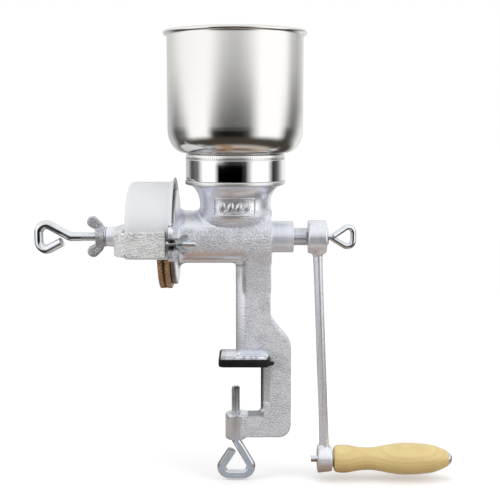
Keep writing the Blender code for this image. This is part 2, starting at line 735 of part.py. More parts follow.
def make_body():
    """Build the casting that carries everything else."""
    body = make_body_core()
    jaw_low = (-PAD_LEFT + PAD_WALL + SEAT_GAP, -PAD_HALF_WIDTH + PAD_WALL + SEAT_GAP)
    jaw_high = (PAD_RIGHT - PAD_WALL - SEAT_GAP, PAD_HALF_WIDTH - PAD_WALL - SEAT_GAP)
    jaw_outline = rounded_box(jaw_low[0], jaw_high[0], jaw_low[1], jaw_high[1], PAD_CORNER - PAD_WALL)
    jaw = plate("upper_jaw", jaw_outline, PLATE_TOP - PLATE_BOTTOM, "XY",
                (0.0, 0.0, (PLATE_TOP + PLATE_BOTTOM) / 2))
    jaw = as_mesh(round_edges(jaw, PLATE_ROUND))
    boss_profile = [
        (JAW_BOSS_BOTTOM, 0.0),
        (JAW_BOSS_BOTTOM, JAW_BOSS_RADIUS - EDGE),
        (JAW_BOSS_BOTTOM + EDGE, JAW_BOSS_RADIUS),
        (JAW_TOP - EDGE, JAW_BOSS_RADIUS),
        (JAW_TOP + EDGE / 4, JAW_BOSS_RADIUS - EDGE),
        (JAW_TOP + EDGE / 4, 0.0),
    ]
    jaw_boss = turned("jaw_boss", boss_profile, steps=SHAFT_STEPS, rotation=UPRIGHT)
    ears = [make_ear("ear_front", -1), make_ear("ear_rear", 1)]
    join(body, make_neck(), make_column(), jaw, jaw_boss, *ears)
    tapped = rod("tapped_hole", JAW_BOSS_BOTTOM - OVERRUN, JAW_TOP + OVERRUN, ROD_RADIUS + RUN_GAP,
                 rotation=UPRIGHT)
    slots = [make_ear_slot("slot_front", -1), make_ear_slot("slot_rear", 1)]
    cut(body, make_bore(), make_throat(), *slots, tapped)
    for name, side in (("socket_top", 1), ("socket_bottom", -1)):
        cut(body, rod(name, -FLANGE_REACH - OVERRUN, -FLANGE_REACH + LUG_LENGTH, LUG_RADIUS + RUN_GAP,
                      steps=SMALL_STEPS, location=(0.0, 0.0, side * LUG_OFFSET)))
    return finish_piece(body, CAST_IRON)


def make_pad():
    """Build the rubber shoe that wraps the upper jaw, open round the clamp's spine."""
    outline = rounded_box(-PAD_LEFT, PAD_RIGHT, -PAD_HALF_WIDTH, PAD_HALF_WIDTH, PAD_CORNER)
    pad = plate("clamp_pad", outline, PAD_HEIGHT, "XY", (0.0, 0.0, PAD_HEIGHT / 2 - SHAFT_HEIGHT))
    inner = rounded_box(-PAD_LEFT + PAD_WALL, PAD_RIGHT - PAD_WALL, -PAD_HALF_WIDTH + PAD_WALL,
                        PAD_HALF_WIDTH - PAD_WALL, PAD_CORNER - PAD_WALL)
    pocket_height = PAD_HEIGHT - PAD_FLOOR + OVERRUN
    pocket = plate("pad_pocket", inner, pocket_height, "XY",
                   (0.0, 0.0, PAD_FLOOR + pocket_height / 2 - SHAFT_HEIGHT))
    half = COLUMN_THICKNESS / 2 + SEAT_GAP
    notch = block("pad_notch", (SPINE_INNER - SEAT_GAP, -half, -OVERRUN - SHAFT_HEIGHT),
                  (PAD_RIGHT + OVERRUN, half, PAD_HEIGHT + OVERRUN - SHAFT_HEIGHT))
    cut(pad, pocket, notch)
    return finish_piece(pad, RUBBER)


def groove_cutters(name, face, towards, count, width, depth, inner, outer, skew):
    """Return one cutter with a V-shaped prism for each groove of a disc's face."""
    bm = bmesh.new()
    for index in range(count):
        turn = Matrix.Rotation(2 * math.pi * index / count, 4, "X")
        lean = Matrix.Translation((0.0, 0.0, inner)) @ Matrix.Rotation(skew, 4, "X")
        bmesh_prism(bm, turn @ lean, width, depth, outer - inner, face, towards)
    mesh = bpy.data.meshes.new(name)
    bm.to_mesh(mesh)
    bm.free()
    obj = bpy.data.objects.new(name, mesh)
    mill.objects.link(obj)
    return place(obj)


def bmesh_prism(bm, matrix, width, depth, length, face, towards):
    """Add a three-sided prism whose ridge lies in the disc and whose base is clear of it."""
    before = set(bm.verts)
    bmesh.ops.create_cone(bm, cap_ends=True, segments=3, radius1=1.0, radius2=1.0, depth=1.0)
    fresh = [vert for vert in bm.verts if vert not in before]
    across = math.sqrt(3)
    spread = width * (depth + OVERRUN) / depth
    for vert in fresh:
        unit = vert.co.copy()
        into = (unit.y + 0.5) / 1.5 * (depth + OVERRUN) - OVERRUN
        vert.co = (face + towards * into, unit.x / across * spread, (unit.z + 0.5) * length)
    bmesh.ops.transform(bm, matrix=matrix, verts=fresh)
    if towards > 0:
        bmesh.ops.reverse_faces(bm, faces=list({face for vert in fresh for face in vert.link_faces}))


def groove_set(name, face, towards, skew):
    """Return the fine outer grooves and the coarse feed grooves of one disc."""
    outer = groove_cutters(f"{name}_fine", face, towards, FACE_GROOVES, GROOVE_WIDTH, GROOVE_DEPTH,
                           GROOVE_INNER, DISC_RADIUS + OVERRUN, skew)
    feed = groove_cutters(f"{name}_feed", face, towards, FEED_GROOVES, FEED_WIDTH, FEED_DEPTH,
                          BORE_RADIUS - OVERRUN, GROOVE_INNER - OVERRUN / 2, skew)
    return outer, feed


def disc_profile(back, face):
    """Return the rim of a disc from its left face to its right face."""
    left, right = min(back, face), max(back, face)
    return [
        (left, DISC_RADIUS - DISC_CHAMFER),
        (left + DISC_CHAMFER, DISC_RADIUS),
        (right - DISC_CHAMFER, DISC_RADIUS),
        (right, DISC_RADIUS - DISC_CHAMFER),
    ]


def make_fixed_disc():
    """Build the disc that two cast lugs hold on the flange."""
    disc = turned("fixed_disc", disc_profile(FIXED_BACK, FIXED_FACE),
                  [(FIXED_BACK, BORE_RADIUS), (FIXED_FACE, BORE_RADIUS)])
    for name, side in (("lug_top", 1), ("lug_bottom", -1)):
        join(disc, rod(name, FIXED_BACK - LUG_LENGTH / 2, FIXED_BACK + LUG_LENGTH, LUG_RADIUS,
                       steps=SMALL_STEPS, location=(0.0, 0.0, side * LUG_OFFSET)))
    cut(disc, *groove_set("fixed_groove", FIXED_FACE, 1.0, GROOVE_SKEW))
    return finish_piece(disc, DISC_IRON)


def make_rotating_disc():
    """Build the disc that the pin drives, with its hub behind it."""
    bore = SHAFT_RADIUS + RUN_GAP
    outer = [
        (ROTOR_HUB_END, ROTOR_HUB_RADIUS - EDGE),
        (ROTOR_HUB_END + EDGE, ROTOR_HUB_RADIUS),
        (ROTOR_BACK, ROTOR_HUB_RADIUS + EDGE),
    ]
    disc = turned("rotating_disc", outer + disc_profile(ROTOR_BACK, ROTOR_FACE),
                  [(ROTOR_FACE, bore), (ROTOR_HUB_END, bore)])
    reach = PIN_RADIUS + RUN_GAP
    pin_seat = (ROTOR_HUB_END + ROTOR_BACK) / 2
    slot = block("pin_slot", (ROTOR_HUB_END - OVERRUN, -reach, -PIN_HALF_LENGTH - SEAT_GAP),
                 (pin_seat + reach, reach, PIN_HALF_LENGTH + SEAT_GAP))
    cut(disc, slot, *groove_set("rotating_groove", ROTOR_FACE, -1.0, GROOVE_SKEW))
    return finish_piece(disc, DISC_IRON)


def make_worm():
    """Return the worm's thread: a tapered rib carried round the shaft by a Screw, ends closed."""
    left = FIXED_BACK - DISC_THICKNESS / 2
    sunk = WORM_ROOT - WORM_SINK
    section = (
        (WORM_ROOT_WIDTH / 2, sunk),
        (WORM_TIP_WIDTH / 2, WORM_RADIUS),
        (-WORM_TIP_WIDTH / 2, WORM_RADIUS),
        (-WORM_ROOT_WIDTH / 2, sunk),
    )
    bm = bmesh.new()
    verts = [bm.verts.new((radius, 0.0, along)) for along, radius in section]
    for index, vert in enumerate(verts):
        bm.edges.new((vert, verts[(index + 1) % len(verts)]))
    mesh = bpy.data.meshes.new("worm")
    bm.to_mesh(mesh)
    bm.free()
    obj = bpy.data.objects.new("worm", mesh)
    mill.objects.link(obj)
    screw = obj.modifiers.new("worm", "SCREW")
    screw.axis = "Z"
    screw.steps = WORM_STEPS
    screw.render_steps = WORM_STEPS
    screw.screw_offset = WORM_PITCH
    screw.iterations = WORM_TURNS
    place(obj, (left + WORM_ROOT_WIDTH / 2, 0.0, 0.0), ALONG_X)
    obj = as_mesh(obj)
    bm = bmesh.new()
    bm.from_mesh(obj.data)
    bmesh.ops.holes_fill(bm, edges=bm.edges)
    bmesh.ops.recalc_face_normals(bm, faces=bm.faces)
    bm.to_mesh(obj.data)
    bm.free()
    return obj


def shaft_flats(name, offset, start, end):
    """Return two cutters that leave flats at the offset on each side of the shaft."""
    reach = SHAFT_RADIUS + OVERRUN
    return [
        block(f"{name}_{word}", (start, min(side * offset, side * reach), -reach),
              (end, max(side * offset, side * reach), reach))
        for word, side in (("front", -1), ("rear", 1))
    ]


def make_auger():
    """Build the shaft with its worm, the pin's hole, the ball's seat and the crank's flats."""
    root_left = FIXED_BACK - DISC_THICKNESS / 2
    root_right = root_left + WORM_PITCH * WORM_TURNS + WORM_ROOT_WIDTH
    outer = [
        (SHAFT_LEFT, 0.0),
        (SHAFT_LEFT, SHAFT_RADIUS - EDGE),
        (SHAFT_LEFT + EDGE, SHAFT_RADIUS),
        (root_left - (WORM_ROOT - SHAFT_RADIUS), SHAFT_RADIUS),
        (root_left, WORM_ROOT),
        (root_right, WORM_ROOT),
        (root_right + WORM_ROOT - SHAFT_RADIUS, SHAFT_RADIUS),
        (SHAFT_RIGHT - EDGE, SHAFT_RADIUS),
        (SHAFT_RIGHT, SHAFT_RADIUS - EDGE),
        (SHAFT_RIGHT, 0.0),
    ]
    shaft = turned("auger_shaft", outer, steps=SHAFT_STEPS)
    join(shaft, make_worm())
    pin_seat = (ROTOR_HUB_END + ROTOR_BACK) / 2
    pin_hole = rod("pin_hole", -SHAFT_RADIUS - OVERRUN, SHAFT_RADIUS + OVERRUN, PIN_RADIUS + RUN_GAP,
                   steps=SMALL_STEPS, rotation=UPRIGHT, location=(pin_seat, 0.0, 0.0))
    ball_seat = ball("ball_seat", BALL_RADIUS + SEAT_GAP)
    screw_hole = rod("screw_hole", SHAFT_RIGHT - CRANK_SCREW_DEPTH - OVERRUN, SHAFT_RIGHT + OVERRUN,
                     CRANK_ROD_RADIUS + RUN_GAP, steps=SMALL_STEPS)
    flats = shaft_flats("shaft_flat", FLAT_OFFSET, HUB_LEFT - OVERRUN, SHAFT_RIGHT + OVERRUN)
    cut(shaft, pin_hole, ball_seat, screw_hole, *flats)
    return finish_piece(shaft, SHAFT_IRON)


def ball(name, radius):
    """Return a ball at the ball's place in front of the shaft."""
    bm = bmesh.new()
    bmesh.ops.create_uvsphere(bm, u_segments=SMALL_STEPS, v_segments=SMALL_STEPS // 2, radius=radius)
    mesh = bpy.data.meshes.new(name)
    bm.to_mesh(mesh)
    bm.free()
    obj = bpy.data.objects.new(name, mesh)
    mill.objects.link(obj)
    return place(obj, (BALL_CENTRE, 0.0, 0.0), ALONG_X)


def make_drive_pin():
    """Build the cross pin that turns the rotating disc."""
    pin_seat = (ROTOR_HUB_END + ROTOR_BACK) / 2
    pin = rod("drive_pin", -PIN_HALF_LENGTH, PIN_HALF_LENGTH, PIN_RADIUS, steps=SMALL_STEPS,
              rotation=UPRIGHT, location=(pin_seat, 0.0, 0.0))
    return finish_piece(pin, STEEL)


def make_yoke():
    """Build the bracket: a bar with two arms, their lugs and the boss of the adjusting screw."""
    inner_radius = YOKE_CORNER - YOKE_BAR
    arm_inner = YOKE_OUTER - YOKE_ARM_THICKNESS
    half = [(YOKE_BAR_INNER, 0.0)]
    inner_centre = (YOKE_BAR_INNER + inner_radius, -arm_inner + inner_radius)
    half += arc(inner_centre, (inner_radius, inner_radius), 180, 270)
    half += [(YOKE_LUG_LEFT, -arm_inner), (YOKE_LUG_LEFT, -YOKE_LUG_INNER)]
    half += [(YOKE_LUG_RIGHT, -YOKE_LUG_INNER)]
    half += [(YOKE_LUG_RIGHT, -YOKE_OUTER + EDGE), (YOKE_LUG_RIGHT - EDGE, -YOKE_OUTER)]
    outer_centre = (YOKE_BAR_OUTER + YOKE_CORNER, -YOKE_OUTER + YOKE_CORNER)
    half += arc(outer_centre, (YOKE_CORNER, YOKE_CORNER), 270, 180)
    half += [(YOKE_BAR_OUTER, 0.0)]
    outline = half + [(along, -across) for along, across in reversed(half[1:-1])]
    yoke = plate("yoke", outline, 2 * YOKE_HALF_HEIGHT, "XY")
    side = [
        (YOKE_BAR_OUTER - OVERRUN, -YOKE_BAR_HALF_HEIGHT),
        (YOKE_BAR_OUTER + YOKE_TAPER, -YOKE_HALF_HEIGHT),
        (YOKE_LUG_RIGHT + OVERRUN, -YOKE_HALF_HEIGHT),
        (YOKE_LUG_RIGHT + OVERRUN, YOKE_HALF_HEIGHT),
        (YOKE_BAR_OUTER + YOKE_TAPER, YOKE_HALF_HEIGHT),
        (YOKE_BAR_OUTER - OVERRUN, YOKE_BAR_HALF_HEIGHT),
    ]
    combine(yoke, plate("yoke_side", side, 2 * YOKE_OUTER + OVERRUN, "XZ"), "INTERSECT")
    round_edges(yoke, EDGE, segments=1)
    fillet = arc((YOKE_BAR_OUTER - YOKE_BOSS_FILLET, YOKE_BOSS_RADIUS + YOKE_BOSS_FILLET),
                 (YOKE_BOSS_FILLET, YOKE_BOSS_FILLET), 270, 360, 3)
    boss_profile = [
        (YOKE_BOSS_FACE, 0.0),
        (YOKE_BOSS_FACE, YOKE_BOSS_TIP - EDGE),
        (YOKE_BOSS_FACE + EDGE, YOKE_BOSS_TIP),
        *fillet,
        (YOKE_BAR_OUTER + EDGE, YOKE_BOSS_RADIUS + YOKE_BOSS_FILLET),
        (YOKE_BAR_OUTER + EDGE, 0.0),
    ]
    join(yoke, turned("yoke_boss", boss_profile, steps=SHAFT_STEPS))
    cut(yoke, rod("yoke_thread", YOKE_BOSS_FACE - OVERRUN, YOKE_BAR_INNER + OVERRUN, ROD_RADIUS + RUN_GAP))
    for name, side_sign in (("bolt_hole_front", -1), ("bolt_hole_rear", 1)):
        cut(yoke, rod(name, YOKE_LUG_LEFT - OVERRUN, YOKE_LUG_RIGHT + OVERRUN, BOLT_RADIUS + BOLT_HOLE_GAP,
                      steps=SMALL_STEPS, location=(0.0, side_sign * BOLT_OFFSET, 0.0)))
    return finish_piece(yoke, CAST_IRON)


def make_yoke_bolt(name, side):
    """Build one square-headed bolt behind its lug."""
    under_head = YOKE_LUG_LEFT - SEAT_GAP
    centre = (0.0, side * BOLT_OFFSET, 0.0)
    bolt = rod(name, under_head - EDGE, under_head + BOLT_LENGTH, BOLT_RADIUS, SMALL_STEPS, location=centre)
    half = BOLT_HEAD / 2
    head_end = under_head - BOLT_HEAD_HEIGHT
    head = block(f"{name}_head", (head_end, -half, -half), (under_head, half, half), centre)
    join(bolt, round_edges(head, EDGE, segments=1))
    return finish_piece(bolt, ZINC_STEEL)


class WingNut:
    """A cast wing nut: a turned hub on a round base, with two leaning wings."""

    def __init__(
        self, bore, hub, hub_length, base, base_height, root, tip, wing_radius, tip_radius, thickness
    ):
        self.bore = bore
        self.hub = hub
        self.hub_length = hub_length
        self.base = base
        self.base_height = base_height
        self.root = root
        self.tip = tip
        self.wing_radius = wing_radius
        self.tip_radius = tip_radius
        self.thickness = thickness

    def build(self, name, seat, direction, centre, lean, steps):
        """Build the nut on its seat, reaching in the direction along X, turned by lean."""
        profile = [
            (0.0, 0.0),
            (0.0, self.base - EDGE),
            (EDGE, self.base),
            (self.base_height, self.base),
            (self.base_height + EDGE, self.hub + EDGE),
            (self.hub_length - EDGE, self.hub),
            (self.hub_length, self.hub - EDGE),
            (self.hub_length, 0.0),
        ]
        if direction < 0:
            profile = [(-along, radius) for along, radius in reversed(profile)]
        nut = turned(name, profile, steps=steps)
        for word, up in (("upper", 1), ("lower", -1)):
            root = (direction * self.root[0], up * self.root[1])
            tip = (direction * self.tip[0], up * self.tip[1])
            outline = capsule(root, self.wing_radius, tip, self.tip_radius)
            join(nut, plate(f"{name}_{word}", outline, self.thickness, "XZ"))
        start, end = sorted((-direction * OVERRUN, direction * (self.hub_length + self.tip[0])))
        cut(nut, rod(f"{name}_bore", start, end, self.bore, steps=steps))
        nut = finish_piece(nut, CAST_ZINC)
        nut.data.transform(nut.matrix_basis)
        return place(nut, (seat, *centre), (lean, 0.0, 0.0))


SMALL_WING_NUT = WingNut(
    bore=BOLT_RADIUS + RUN_GAP,
    hub=0.0052,
    hub_length=0.0078,
    base=0.0062,
    base_height=0.0022,
    root=(0.0042, 0.0050),
    tip=(0.0092, 0.0108),
    wing_radius=0.0027,
    tip_radius=0.0031,
    thickness=0.0022,
)
LARGE_WING_NUT = WingNut(
    bore=ROD_RADIUS + RUN_GAP,
    hub=0.0078,
    hub_length=0.0095,
    base=0.0100,
    base_height=0.0020,
    root=(0.0052, 0.0080),
    tip=(0.0150, 0.0168),
    wing_radius=0.0042,
    tip_radius=0.0053,
    thickness=0.0036,
)


def make_guard():
    """Build the hood over the discs: a drum without its lower third, slotted for the screw."""
    inner = GUARD_RADIUS - GUARD_WALL
    corner = (GUARD_END + GUARD_CORNER, GUARD_RADIUS - GUARD_CORNER)
    inner_corner = GUARD_CORNER - GUARD_WALL
    outer_side = [(GUARD_END, 0.0)] + arc(corner, (GUARD_CORNER, GUARD_CORNER), 180, 90, 3)
    outer_side += arc((GUARD_OPEN - GUARD_LIP, GUARD_RADIUS + GUARD_LIP - GUARD_WALL / 2),
                      (GUARD_LIP - GUARD_WALL, GUARD_LIP - GUARD_WALL / 2), 270, 360, SHORT_ARC_STEPS)
    lip_radius = GUARD_RADIUS + GUARD_LIP
    outer_side += [(GUARD_OPEN - GUARD_WALL, lip_radius), (GUARD_OPEN, lip_radius)]
    lip_inner = GUARD_LIP - GUARD_WALL
    inner_side = arc((GUARD_OPEN - lip_inner - GUARD_WALL / 2, inner + lip_inner),
                     (lip_inner + GUARD_WALL / 2, lip_inner), 360, 270, SHORT_ARC_STEPS)
    inner_side += arc(corner, (inner_corner, inner_corner), 90, 180, 3)
    inner_side += [(GUARD_END + GUARD_WALL, 0.0)]
    guard = turned("flour_guard", outer_side + inner_side)
    far = GUARD_RADIUS + GUARD_LIP + OVERRUN
    below = block("guard_below", (GUARD_END - OVERRUN, -far, -far),
                  (GUARD_OPEN + OVERRUN, far, -GUARD_SKIRT))
    slot_top = arc((0.0, 0.0), (GUARD_SLOT_HALF, GUARD_SLOT_HALF), 0, 180, 2 * ARC_STEPS)
    slot_outline = slot_top + [(-GUARD_SLOT_HALF, -far), (GUARD_SLOT_HALF, -far)]
    slot_middle = (GUARD_END + GUARD_WALL / 2, 0.0, 0.0)
    slot = plate("guard_slot", slot_outline, GUARD_WALL + OVERRUN, "YZ", slot_middle)
    ear_clear = EAR_HALF_HEIGHT + SEAT_GAP
    notch = block("guard_notch", (EAR_LEFT - SEAT_GAP, -far, -far), (GUARD_OPEN + OVERRUN, far, ear_clear))
    cut(guard, below, slot, notch)
    return finish_piece(guard, WHITE_PAINT)


def make_clamp_screw():
    """Build the clamp screw, which goes up through the lower jaw."""
    route = eye_route(
        Vector((0.0, 0.0, -SHAFT_HEIGHT - CLAMP_SCREW_TIP)),
        Vector((0.0, 0.0, JAW_BOSS_BOTTOM - CLAMP_EYE_START)),
        Vector((0.0, 0.0, -1.0)),
        Vector((1.0, 0.0, 0.0)),
        Vector((0.0, -1.0, 0.0)),
        (CLAMP_EYE_LENGTH, CLAMP_EYE_RIGHT, CLAMP_EYE_LEFT, CLAMP_EYE_END, CLAMP_EYE_END_SIDE,
         CLAMP_EYE_CORNER, CLAMP_EYE_LIFT),
    )
    return finish_piece(wire("clamp_screw", route, ROD_RADIUS, 3), ZINC_STEEL)


def make_adjusting_screw():
    """Build the screw that pushes the ball, with its eye at the far left."""
    nut_end = LOCK_NUT_SEAT - LARGE_WING_NUT.hub_length
    route = eye_route(
        Vector((ADJUST_TIP, 0.0, 0.0)),
        Vector((nut_end - ADJUST_EYE_START, 0.0, 0.0)),
        Vector((-1.0, 0.0, 0.0)),
        Vector((0.0, 0.0, 1.0)),
        Vector((0.0, -1.0, 0.0)),
        (ADJUST_EYE_LENGTH, ADJUST_EYE_RIGHT, ADJUST_EYE_LEFT, ADJUST_EYE_END, ADJUST_EYE_END_SIDE,
         ADJUST_EYE_CORNER, ADJUST_EYE_LIFT),
    )
    return finish_piece(wire("adjusting_screw", route, ROD_RADIUS, 3), ZINC_STEEL)


def make_crank_screw():
    """Build the small eye screw that holds the crank on the shaft."""
    route = eye_route(
        Vector((SHAFT_RIGHT - CRANK_SCREW_DEPTH, 0.0, 0.0)),
        Vector((CRANK_WASHER_RIGHT + CRANK_EYE_START, 0.0, 0.0)),
        Vector((1.0, 0.0, 0.0)),
        Vector((0.0, 0.0, -1.0)),
        Vector((0.0, -1.0, 0.0)),
        (CRANK_EYE_LENGTH, CRANK_EYE_SIDE, CRANK_EYE_SIDE, CRANK_EYE_END, CRANK_EYE_END_SIDE,
         CRANK_EYE_CORNER, CRANK_EYE_LIFT),
    )
    return finish_piece(wire("crank_screw", route, CRANK_ROD_RADIUS, 2), ZINC_STEEL)


def make_washer(name, left, thickness, radius, bore, location=(0.0, 0.0, 0.0)):
    """Build a flat washer on the X axis."""
    right = left + thickness
    outer = [(left, radius), (right, radius)]
    washer = turned(name, outer, [(right, bore), (left, bore)], steps=WASHER_STEPS, location=location)
    return finish_piece(washer, ZINC_STEEL)


def make_collar():
    """Build the bright collar, with the inner ledge that carries the bowl."""
    centre = (COLLAR_RADIUS - COLLAR_ROUND, COLLAR_TOP - COLLAR_ROUND)
    round_corner = arc(centre, (COLLAR_ROUND, COLLAR_ROUND), 0, 90, SHORT_ARC_STEPS)
    inner_round = COLLAR_ROUND - COLLAR_WALL
    inner_corner = arc(centre, (inner_round, inner_round), 90, 0, SHORT_ARC_STEPS)
    outer = [(COLLAR_BOTTOM, COLLAR_RADIUS)] + [(up, radius) for radius, up in round_corner]
    outer += [(COLLAR_TOP, BOWL_OUTLET)]
    inner = [(COLLAR_TOP - COLLAR_WALL, BOWL_OUTLET)] + [(up, radius) for radius, up in inner_corner]
    inner += [(COLLAR_BOTTOM, COLLAR_RADIUS - COLLAR_WALL)]
    collar = turned("hopper_collar", outer, inner, steps=BOWL_STEPS, rotation=UPRIGHT)
    return finish_piece(collar, BRIGHT_STEEL)


def make_bowl():
    """Build the bowl: floor ring, round lower wall, straight wall and rolled rim."""
    curve_width = BOWL_RADIUS - BOWL_FLOOR_RADIUS
    curve_height = BOWL_CURVE_TOP - BOWL_FLOOR
    outer_curve = arc((BOWL_FLOOR_RADIUS, BOWL_CURVE_TOP), (curve_width, curve_height), -90, 0)
    inner_radii = (curve_width - BOWL_WALL, curve_height - BOWL_WALL)
    inner_curve = arc((BOWL_FLOOR_RADIUS, BOWL_CURVE_TOP), inner_radii, 0, -90)
    bead_centre = (BOWL_RADIUS - BOWL_WALL + BOWL_BEAD, BOWL_RIM_TOP - BOWL_BEAD)
    bead = arc(bead_centre, (BOWL_BEAD, BOWL_BEAD), -115, 180, 5)
    outer = [(BOWL_FLOOR, BOWL_OUTLET)] + [(up, radius) for radius, up in outer_curve]
    outer += [(bead_centre[1] - BOWL_BEAD_TUCK, BOWL_RADIUS)]
    outer += [(up, radius) for radius, up in bead]
    inner = [(up, radius) for radius, up in inner_curve] + [(BOWL_FLOOR + BOWL_WALL, BOWL_OUTLET)]
    bowl = turned("hopper_bowl", outer, inner, steps=BOWL_STEPS, rotation=UPRIGHT)
    return finish_piece(bowl, SATIN_STEEL)


def make_arm():
    """Return the crank's arm: an oval bar that leans outward and swells at both ends."""
    bm = bmesh.new()
    rings = []
    hub_middle = HUB_LEFT + HUB_LENGTH / 2
    for along, depth_share, width_share in ARM_SHARES:
        ring = []
        for index in range(ARM_STEPS):
            angle = 2 * math.pi * index / ARM_STEPS
            ring.append(bm.verts.new((
                hub_middle + CRANK_SPLAY * along + ARM_HALF_WIDTH * width_share * math.cos(angle),
                ARM_HALF_DEPTH * depth_share * math.sin(angle),
                -CRANK_THROW * along,
            )))
        rings.append(ring)
    for upper, lower in zip(rings, rings[1:]):
        for index in range(ARM_STEPS):
            after = (index + 1) % ARM_STEPS
            bm.faces.new((upper[index], upper[after], lower[after], lower[index]))
    bm.faces.new(rings[0])
    bm.faces.new(rings[-1])
    bmesh.ops.recalc_face_normals(bm, faces=bm.faces)
    mesh = bpy.data.meshes.new("arm")
    bm.to_mesh(mesh)
    bm.free()
    obj = bpy.data.objects.new("arm", mesh)
    mill.objects.link(obj)
    return place(obj)


def make_crank():
    """Build the crank: hub, arm and handle boss in one casting."""
    hub_profile = [
        (HUB_LEFT, 0.0),
        (HUB_LEFT, HUB_RADIUS - HUB_ROUND),
        (HUB_LEFT + HUB_ROUND, HUB_RADIUS),
        (HUB_RIGHT - HUB_ROUND, HUB_RADIUS),
        (HUB_RIGHT, HUB_RADIUS - HUB_ROUND),
        (HUB_RIGHT, 0.0),
    ]
    crank = turned("crank_arm", hub_profile, steps=SHAFT_STEPS)
    boss_profile = [
        (HANDLE_BOSS_LEFT, 0.0),
        (HANDLE_BOSS_LEFT, HANDLE_BOSS_RADIUS - HUB_ROUND),
        (HANDLE_BOSS_LEFT + HUB_ROUND, HANDLE_BOSS_RADIUS),
        (HANDLE_BOSS_RIGHT - HUB_ROUND, HANDLE_BOSS_TIP),
        (HANDLE_BOSS_RIGHT, HANDLE_BOSS_TIP - HUB_ROUND),
        (HANDLE_BOSS_RIGHT, 0.0),
    ]
    at_handle = (0.0, 0.0, -CRANK_THROW)
    join(crank, make_arm(), turned("handle_boss", boss_profile, steps=SHAFT_STEPS, location=at_handle))
    socket_end = HUB_RIGHT - HUB_END_WALL
    socket = rod("hub_socket", HUB_LEFT - OVERRUN, socket_end, SHAFT_RADIUS + RUN_GAP, steps=SHAFT_STEPS)
    for flat in shaft_flats("hub_flat", FLAT_OFFSET + RUN_GAP, HUB_LEFT - 2 * OVERRUN, HUB_RIGHT):
        combine(socket, flat, "DIFFERENCE")
    socket = as_mesh(socket)
    screw_way = rod("hub_screw_way", HUB_RIGHT - HUB_END_WALL - OVERRUN, HUB_RIGHT + OVERRUN,
                    CRANK_ROD_RADIUS + HOLE_GAP, steps=SMALL_STEPS)
    handle_hole = rod("handle_hole", HANDLE_BOSS_LEFT - OVERRUN, HANDLE_BOSS_RIGHT + OVERRUN,
                      HANDLE_BOLT_RADIUS + RUN_GAP, steps=SMALL_STEPS, location=at_handle)
    cut(crank, socket, screw_way, handle_hole)
    return finish_piece(crank, CRANK_IRON)


def make_grip():
    """Build the turned wooden grip on the handle's own axis."""
    bore = HANDLE_BOLT_RADIUS + HOLE_GAP
    outer = [(GRIP_LEFT + GRIP_LENGTH * along, GRIP_RADIUS * radius)
             for along, radius in GRIP_PROFILE_SHARES]
    grip = turned("handle_grip", outer, [(GRIP_RIGHT, bore), (GRIP_LEFT, bore)], steps=SHAFT_STEPS)
    grip = finish_piece(grip, WOOD)
    return place(grip, rotation=ALONG_X, parent=handle_line)


def make_handle_bolt():
    """Build the handle's bolt with its domed head and slotted end."""
    tip = HANDLE_BOSS_LEFT - HANDLE_BOLT_TIP
    seat = GRIP_RIGHT + SEAT_GAP
    outer = [(tip, 0.0), (tip, HANDLE_BOLT_RADIUS), (seat, HANDLE_BOLT_RADIUS), (seat, CAP_RADIUS)]
    outer += arc((seat, 0.0), (CAP_HEIGHT, CAP_RADIUS), 75, 0, 5)
    bolt = turned("handle_bolt", outer, steps=SMALL_STEPS)
    reach = HANDLE_BOLT_RADIUS + OVERRUN
    slot = block("bolt_slot", (tip - OVERRUN, -reach, -HANDLE_SLOT_WIDTH / 2),
                 (tip + HANDLE_SLOT_DEPTH, reach, HANDLE_SLOT_WIDTH / 2))
    cut(bolt, slot)
    bolt = finish_piece(bolt, ZINC_STEEL)
    return place(bolt, rotation=ALONG_X, parent=handle_line)


clear_scene()
mill = new_collection("hand_grain_mill")
cutters = new_collection("cutters")

CAST_IRON = material("tinned cast iron", (0.66, 0.67, 0.69), 0.46, 0.75)
CRANK_IRON = material("tinned crank iron", (0.68, 0.69, 0.71), 0.40, 0.80)
DISC_IRON = material("bare disc iron", (0.52, 0.45, 0.40), 0.42, 0.85)
SHAFT_IRON = material("turned shaft iron", (0.60, 0.61, 0.63), 0.34, 0.90)
STEEL = material("plain steel", (0.58, 0.58, 0.60), 0.30, 1.0)
ZINC_STEEL = material("zinc-plated steel", (0.70, 0.72, 0.75), 0.24, 1.0)
CAST_ZINC = material("cast zinc", (0.60, 0.62, 0.66), 0.38, 0.85)
SATIN_STEEL = material("satin stainless steel", (0.74, 0.73, 0.71), 0.28, 1.0)
BRIGHT_STEEL = material("mirror stainless steel", (0.80, 0.80, 0.80), 0.08, 1.0)
WHITE_PAINT = material("white guard finish", (0.86, 0.87, 0.88), 0.38, 0.0)
RUBBER = material("black rubber", (0.02, 0.02, 0.022), 0.60, 0.0)
WOOD = material("lacquered beech", (0.80, 0.62, 0.36), 0.40, 0.0)

shaft_line = bpy.data.objects.new("shaft_line", None)
shaft_line.location = (0.0, 0.0, SHAFT_HEIGHT)
mill.objects.link(shaft_line)
handle_line = bpy.data.objects.new("handle_line", None)
handle_line.parent = shaft_line
handle_line.location = (0.0, 0.0, -CRANK_THROW)
mill.objects.link(handle_line)

